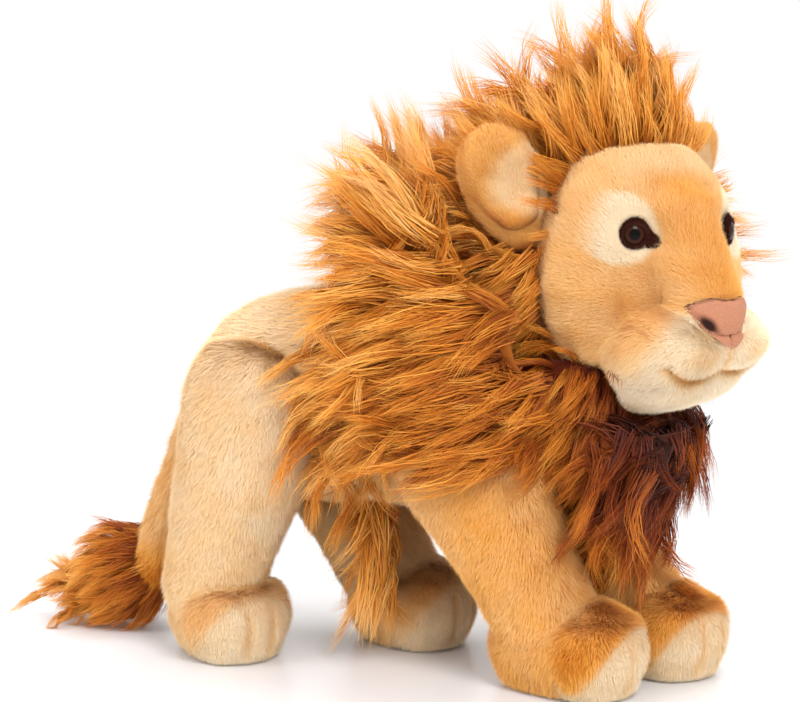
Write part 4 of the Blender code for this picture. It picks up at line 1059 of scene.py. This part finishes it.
# %% The washers inside
washer_plastic, tree, shader = finish("washer_plastic_finish", 0.4)
feed(tree, shader.inputs["Base Color"], blend(tree, grain(tree, 500.0), dye("#d8d6d0"), dye("#e8e6e2")))
for word in ("right", "left"):
    washer = frame["nodes"]["eye_washer_" + word]
    washer.data.materials.clear()
    washer.data.materials.append(washer_plastic)
print("washers: 2, hidden behind the eyes")

# %% [markdown]
# ## Ears
# Each ear is two layers of plush sewn back to back and cupped forward, the inner one cream.

# %% The ears
for word, sign in (("right", -1), ("left", 1)):
    nodes = ("ear_%s_back" % word, "ear_%s_lining" % word)
    item = stuffed("ear_%s_sewn" % word, nodes, voxel=1.4 * MM, relax=6, puff=0.8 * MM)
    at = to_head(places(item.data))
    up = facings(item.data) @ SPIN
    root = np.array((sign * 50, 20, 11)) * MM
    flow = turned(unit(at - root - np.array((0, 0, -8 * MM))))
    inner = step(-up[:, 1], 0.1, 0.6)
    rim = np.hypot((at[:, 0] - root[0]) * 0.9, at[:, 2] - root[2] - 26 * MM)
    shade = 0.60 + 0.22 * inner * (1 - slope(rim, 14, 21))
    comb(item.data, flow, radians(22), 0.7 + 0.3 * slope(rim, 14, 24), shade, 1.0)
    plant_pile("ear_%s_pile" % word, item, "ear_" + word, BLADES, SHORT_PILE, density=7.0e6,
               length=3.6 * MM, width=0.42 * MM, tousle=0.2, shade_spread=0.03, seed=51 + sign)
    dress_body("ear_" + word, item, nodes)

# %% [markdown]
# ## Mane
# Long pile grows from the back of the head in overlapping locks. Over the brow it stands up and is
# blown back, at the cheeks it sweeps back and down, and under the chin it is mahogany.

# %% Locks over a core, and the core under them
UNDERLAY, RIM_ROUNDS = 2 * MM, 45


def plant_locks(name, form, body, flow, lift, pile, shade, show, **sizes):
    """Comb a copy of a form, plant it with locks and let the copy go."""
    item = form.copy()
    item.data = form.data.copy()
    comb(item.data, flow, lift, pile, shade, show)
    plant_pile(name, item, body, LOCKS, LONG_PILE, **sizes)
    bpy.data.objects.remove(item, do_unlink=True)


def dress_core(body, form, nodes, flow, shade):
    """The backing itself, drawn in under the roots so that its rims don't show."""
    sink(form, UNDERLAY)
    soften(form, RIM_ROUNDS)
    comb(form.data, flow, 0.0, 1.0, shade, 1.0)
    dress_body(body, form, nodes, finish=MANE_BACKING)


# %% The head's mane
world = places(core.data)
at = to_head(world)
x, y, z = at[:, 0], at[:, 1], at[:, 2]
top = slope(z, 20, 60)
spokes = unit(columns(x, 0, z)) * (0.45 + 0.55 * top)[:, None]
swept = top * slope(y, 25, 65)
far_side = slope(x, 15, 40) * (1 - top)
loose = far_side * bell(z, 0, 16 * MM)
back = 0.75 - 0.40 * top + 0.45 * swept - 0.55 * far_side - 0.40 * loose
flow = spokes + columns(0 * x, back, -0.5 + 0.80 * top + 0.10 * swept + 0.3 * far_side)
edge = 1 - slope(y, 0, 26)
ring = slope(y - 3 * MM * (1 - top), 0, 5) * slope(np.hypot(x, z), 30, 38)
nape = slope(y, 30, 40) * bare(world, cape, margin=8 * MM)
show = np.maximum(np.maximum(ring, slope(z, 42, 50)), nape)
show = show * bare(world, head, margin=4 * MM)
high = slope(z, 40, 70)
at[:, 2] -= 0.32 * np.maximum(z - 44 * MM, 0)
at[:, 0] -= (0.15 + 0.12 * (x > 0)) * x * high
rim = (1 - slope(y, 0, 10)) * (1 - top)
at[:, 0] -= 0.22 * x * rim
at[:, 2] -= 0.22 * z * rim
world = from_head(at)
set_places(core.data, world)
# Painted shade and light: darker at the edge next to the face, which shades it, and a little paler over the
# top, where the light falls.
shade = 0.50 + 0.05 * noise(world, 45 * MM, 12) - 0.08 * edge * (1 - top) + 0.03 * top
shade = shade + 0.14 * loose
crown = slope(z, 22, 26)
length = 0.82 + 0.22 * top + 0.14 * swept + 0.25 * loose
show = show * (1 - 0.7 * loose)
for name, where, number in (("crest_locks", crown, 61), ("ruff_locks", 1 - crown, 62)):
    plant_locks(name, core, "head", turned(flow), radians(18), length, shade, show * where, density=28000.0,
                length=38 * MM, width=38 * MM, tousle=0.10, tousle_scale=30.0, stray=0.16,
                shade_spread=0.06, seed=number)
dress_core("head", core, ("head_mane",), turned(flow), shade)

# %% The cape, the bib and the belly fringe
at = places(cape.data)
up = facings(cape.data)
neck = slope(at[:, 2], 148, 160) * (1 - slope(own(at)[:, 1], -89, -77))
at += up * (neck * 10 * MM)[:, None]
x, y, z = own(at).T
under = (z < 92 * MM) * (y > -37 * MM)
at[:, 1] -= 0.65 * np.maximum(y - 8 * MM, 0)
at[:, 2] = np.where(under, 92 * MM - (92 * MM - z) * 0.70, z)
at[:, 1] -= 0.45 * np.minimum(y + 125 * MM, 0) * (1 - slope(z, 100, 140))
set_places(cape.data, at)
x, y, z = own(at).T
chest = 1 - slope(y, -127, -95)
low = 1 - slope(z, 70, 150)
rear = slope(y, -30, 15)
upper = slope(z, 175, 225) * (1 - chest)
belly = (z < 92 * MM) * (y > -37 * MM)
fall = -0.30 - 0.8 * low - 0.6 * chest - 0.3 * rear + 0.95 * upper * (1 - 0.4 * rear)
flow = columns(x * (5 - 3 * chest), 0.8 - 0.45 * chest - 0.5 * belly, fall)
# Painted light: the upper cape is made paler, where the light falls on it from above.
shade = 0.42 + 0.06 * noise(at, 50 * MM, 15) + 0.06 * slope(y, -60, -5) * (1 - upper) + 0.17 * upper
shade = shade - 0.21 * chest + 0.10 * chest * (1 - slope(z, 60, 120))
behind = slope(z + 40 * MM * (1 - chest), 68, 84)
show = np.where(belly, 1.0, behind) * bare(at, torso, *limbs.values(), margin=6 * MM)
drape = low * slope(y, -70, -30)
length = 1.0 + 0.05 * belly + (1 - belly) * (0.30 * drape + 0.05 * rear + upper * (0.20 - 0.45 * rear))
shade = shade + 0.02 * belly
parts = (
    ("cape_locks", (1 - belly) * (1 - chest) * slope(z, 148, 152), 24000.0, 0.10, 71),
    ("flank_locks", (1 - belly) * (1 - chest) * (1 - slope(z, 148, 152)), 26000.0, 0.10, 72),
    ("bib_locks", (1 - belly) * chest, 34000.0, 0.04, 73),
    ("fringe_locks", belly * 1.0, 60000.0, 0.06, 74),
)
lift = radians(9) + radians(26) * upper * (1 - 0.6 * rear)
for name, where, density, tousle, number in parts:
    plant_locks(name, cape, "torso", flow, lift, length, shade, show * where, density=density,
                length=42 * MM, width=42 * MM, tousle=tousle, tousle_scale=28.0, stray=0.13,
                shade_spread=0.07, seed=number)
dress_core("torso", cape, CAPE_NODES, flow, shade)

# %% The scarf of pile where the cape meets the torso
scarf = torso.copy()
scarf.data = torso.data.copy()
for layer in ("flow", "pile", "shade", "cover"):
    scarf.data.attributes.remove(scarf.data.attributes[layer])
at = places(scarf.data)
x, y, z = own(at).T
ahead = 1 - slope(y, -127, -97)
show = (1 - slope(y, -89, -73)) * slope(z, 112, 122) * bare(at, *limbs.values())
flow = columns(x * 8, 0.45 - 0.5 * ahead, -0.8)
plant_locks("scarf_locks", scarf, "torso", flow, radians(22), 0.8, 0.38 - 0.18 * ahead, show,
            density=40000.0, length=38 * MM, width=38 * MM, tousle=0.05, tousle_scale=28.0, stray=0.13,
            shade_spread=0.07, seed=81)
bpy.data.objects.remove(scarf, do_unlink=True)

# %% [markdown]
# ## Floor, light and camera
# The lion stands on a plain pale floor under soft studio light, seen from its right side and a
# little ahead, from just above its own height.

# %% The stage
floor_mesh = bpy.data.meshes.new("floor")
floor_mesh.from_pydata([(-6, -6, 0), (6, -6, 0), (6, 6, 0), (-6, 6, 0)], [], [(0, 1, 2, 3)])
floor = link("floor", floor_mesh)
made, tree, shader = finish("pale_floor", 0.3)
shader.inputs["Base Color"].default_value = (0.93, 0.93, 0.94, 1)
shader.inputs["Specular IOR Level"].default_value = 0.3
camera_ray = node(tree, "ShaderNodeLightPath").outputs["Is Camera Ray"]
spot = node(tree, "ShaderNodeTexCoord").outputs["Object"]
reach = wired(tree, "ShaderNodeVectorMath", {0: spot}, operation="LENGTH")
fade = {"Value": reach, "From Min": 0.25, "From Max": 0.50}
far = wired(tree, "ShaderNodeMapRange", fade, interpolation_type="SMOOTHSTEP")
white = node(tree, "ShaderNodeEmission").outputs[0]
layers = {0: maths(tree, "MULTIPLY", far, camera_ray), 1: shader.outputs[0], 2: white}
feed(tree, tree.nodes["Material Output"].inputs["Surface"], wired(tree, "ShaderNodeMixShader", layers))
floor_mesh.materials.append(made)

world_shader = bpy.data.worlds.new("studio")
bpy.context.scene.world = world_shader
world_shader.use_nodes = True
tree = world_shader.node_tree
tree.nodes.clear()
rays = node(tree, "ShaderNodeLightPath").outputs
seen = maths(tree, "MAXIMUM", rays["Is Camera Ray"], rays["Is Glossy Ray"])
seen = maths(tree, "MAXIMUM", seen, rays["Is Transmission Ray"])
sky = {0: (1, 1, 1, 1), 1: maths(tree, "MULTIPLY_ADD", seen, 0.25, 0.75)}
feed(tree, node(tree, "ShaderNodeOutputWorld").inputs[0], wired(tree, "ShaderNodeBackground", sky))


def lamp(name, place, size, power, target=(0, 0, 0.15)):
    data = bpy.data.lights.new(name, "AREA")
    data.shape = "RECTANGLE"
    data.size, data.size_y = size
    data.energy = power
    item = link(name, data)
    item.location = place
    item.rotation_euler = (Vector(target) - Vector(place)).to_track_quat("-Z", "Y").to_euler()
    return item


lamp("key_light", (-1.3, -1.3, 1.6), (0.9, 0.9), 34)
lamp("fill_light", (-1.2, 1.2, 1.0), (1.2, 1.2), 14)
lamp("top_light", (0.4, -0.2, 1.9), (1.2, 1.2), 16)

# %% The camera
AZIMUTH, ELEVATION, DISTANCE = radians(-68), radians(7), 1.0
TARGET = Vector(HIP_MIDDLE) + Vector((-0.008, 0, 0.155))
PHOTO_WIDTH, FOCAL = 800, 2040
toward = Vector((sin(AZIMUTH) * cos(ELEVATION), -cos(AZIMUTH) * cos(ELEVATION), sin(ELEVATION)))
camera_data = bpy.data.cameras.new("camera")
camera_data.lens = FOCAL / PHOTO_WIDTH * camera_data.sensor_width
camera = link("camera", camera_data)
camera.location = TARGET + toward * DISTANCE
camera.rotation_euler = (-toward).to_track_quat("-Z", "Y").to_euler()
bpy.context.scene.camera = camera
bpy.context.scene.view_settings.view_transform = "Standard"

# %% [markdown]
# ## Finish
# The templates have done their work and go. The last line prints how many triangles the pile has.

# %% Clean up and finish
for collection in (BLADES, LOCKS):
    for item in list(collection.objects):
        bpy.data.objects.remove(item, do_unlink=True)
    bpy.data.collections.remove(collection)
print("triangles in pile:", sum(TOTALS.values()))
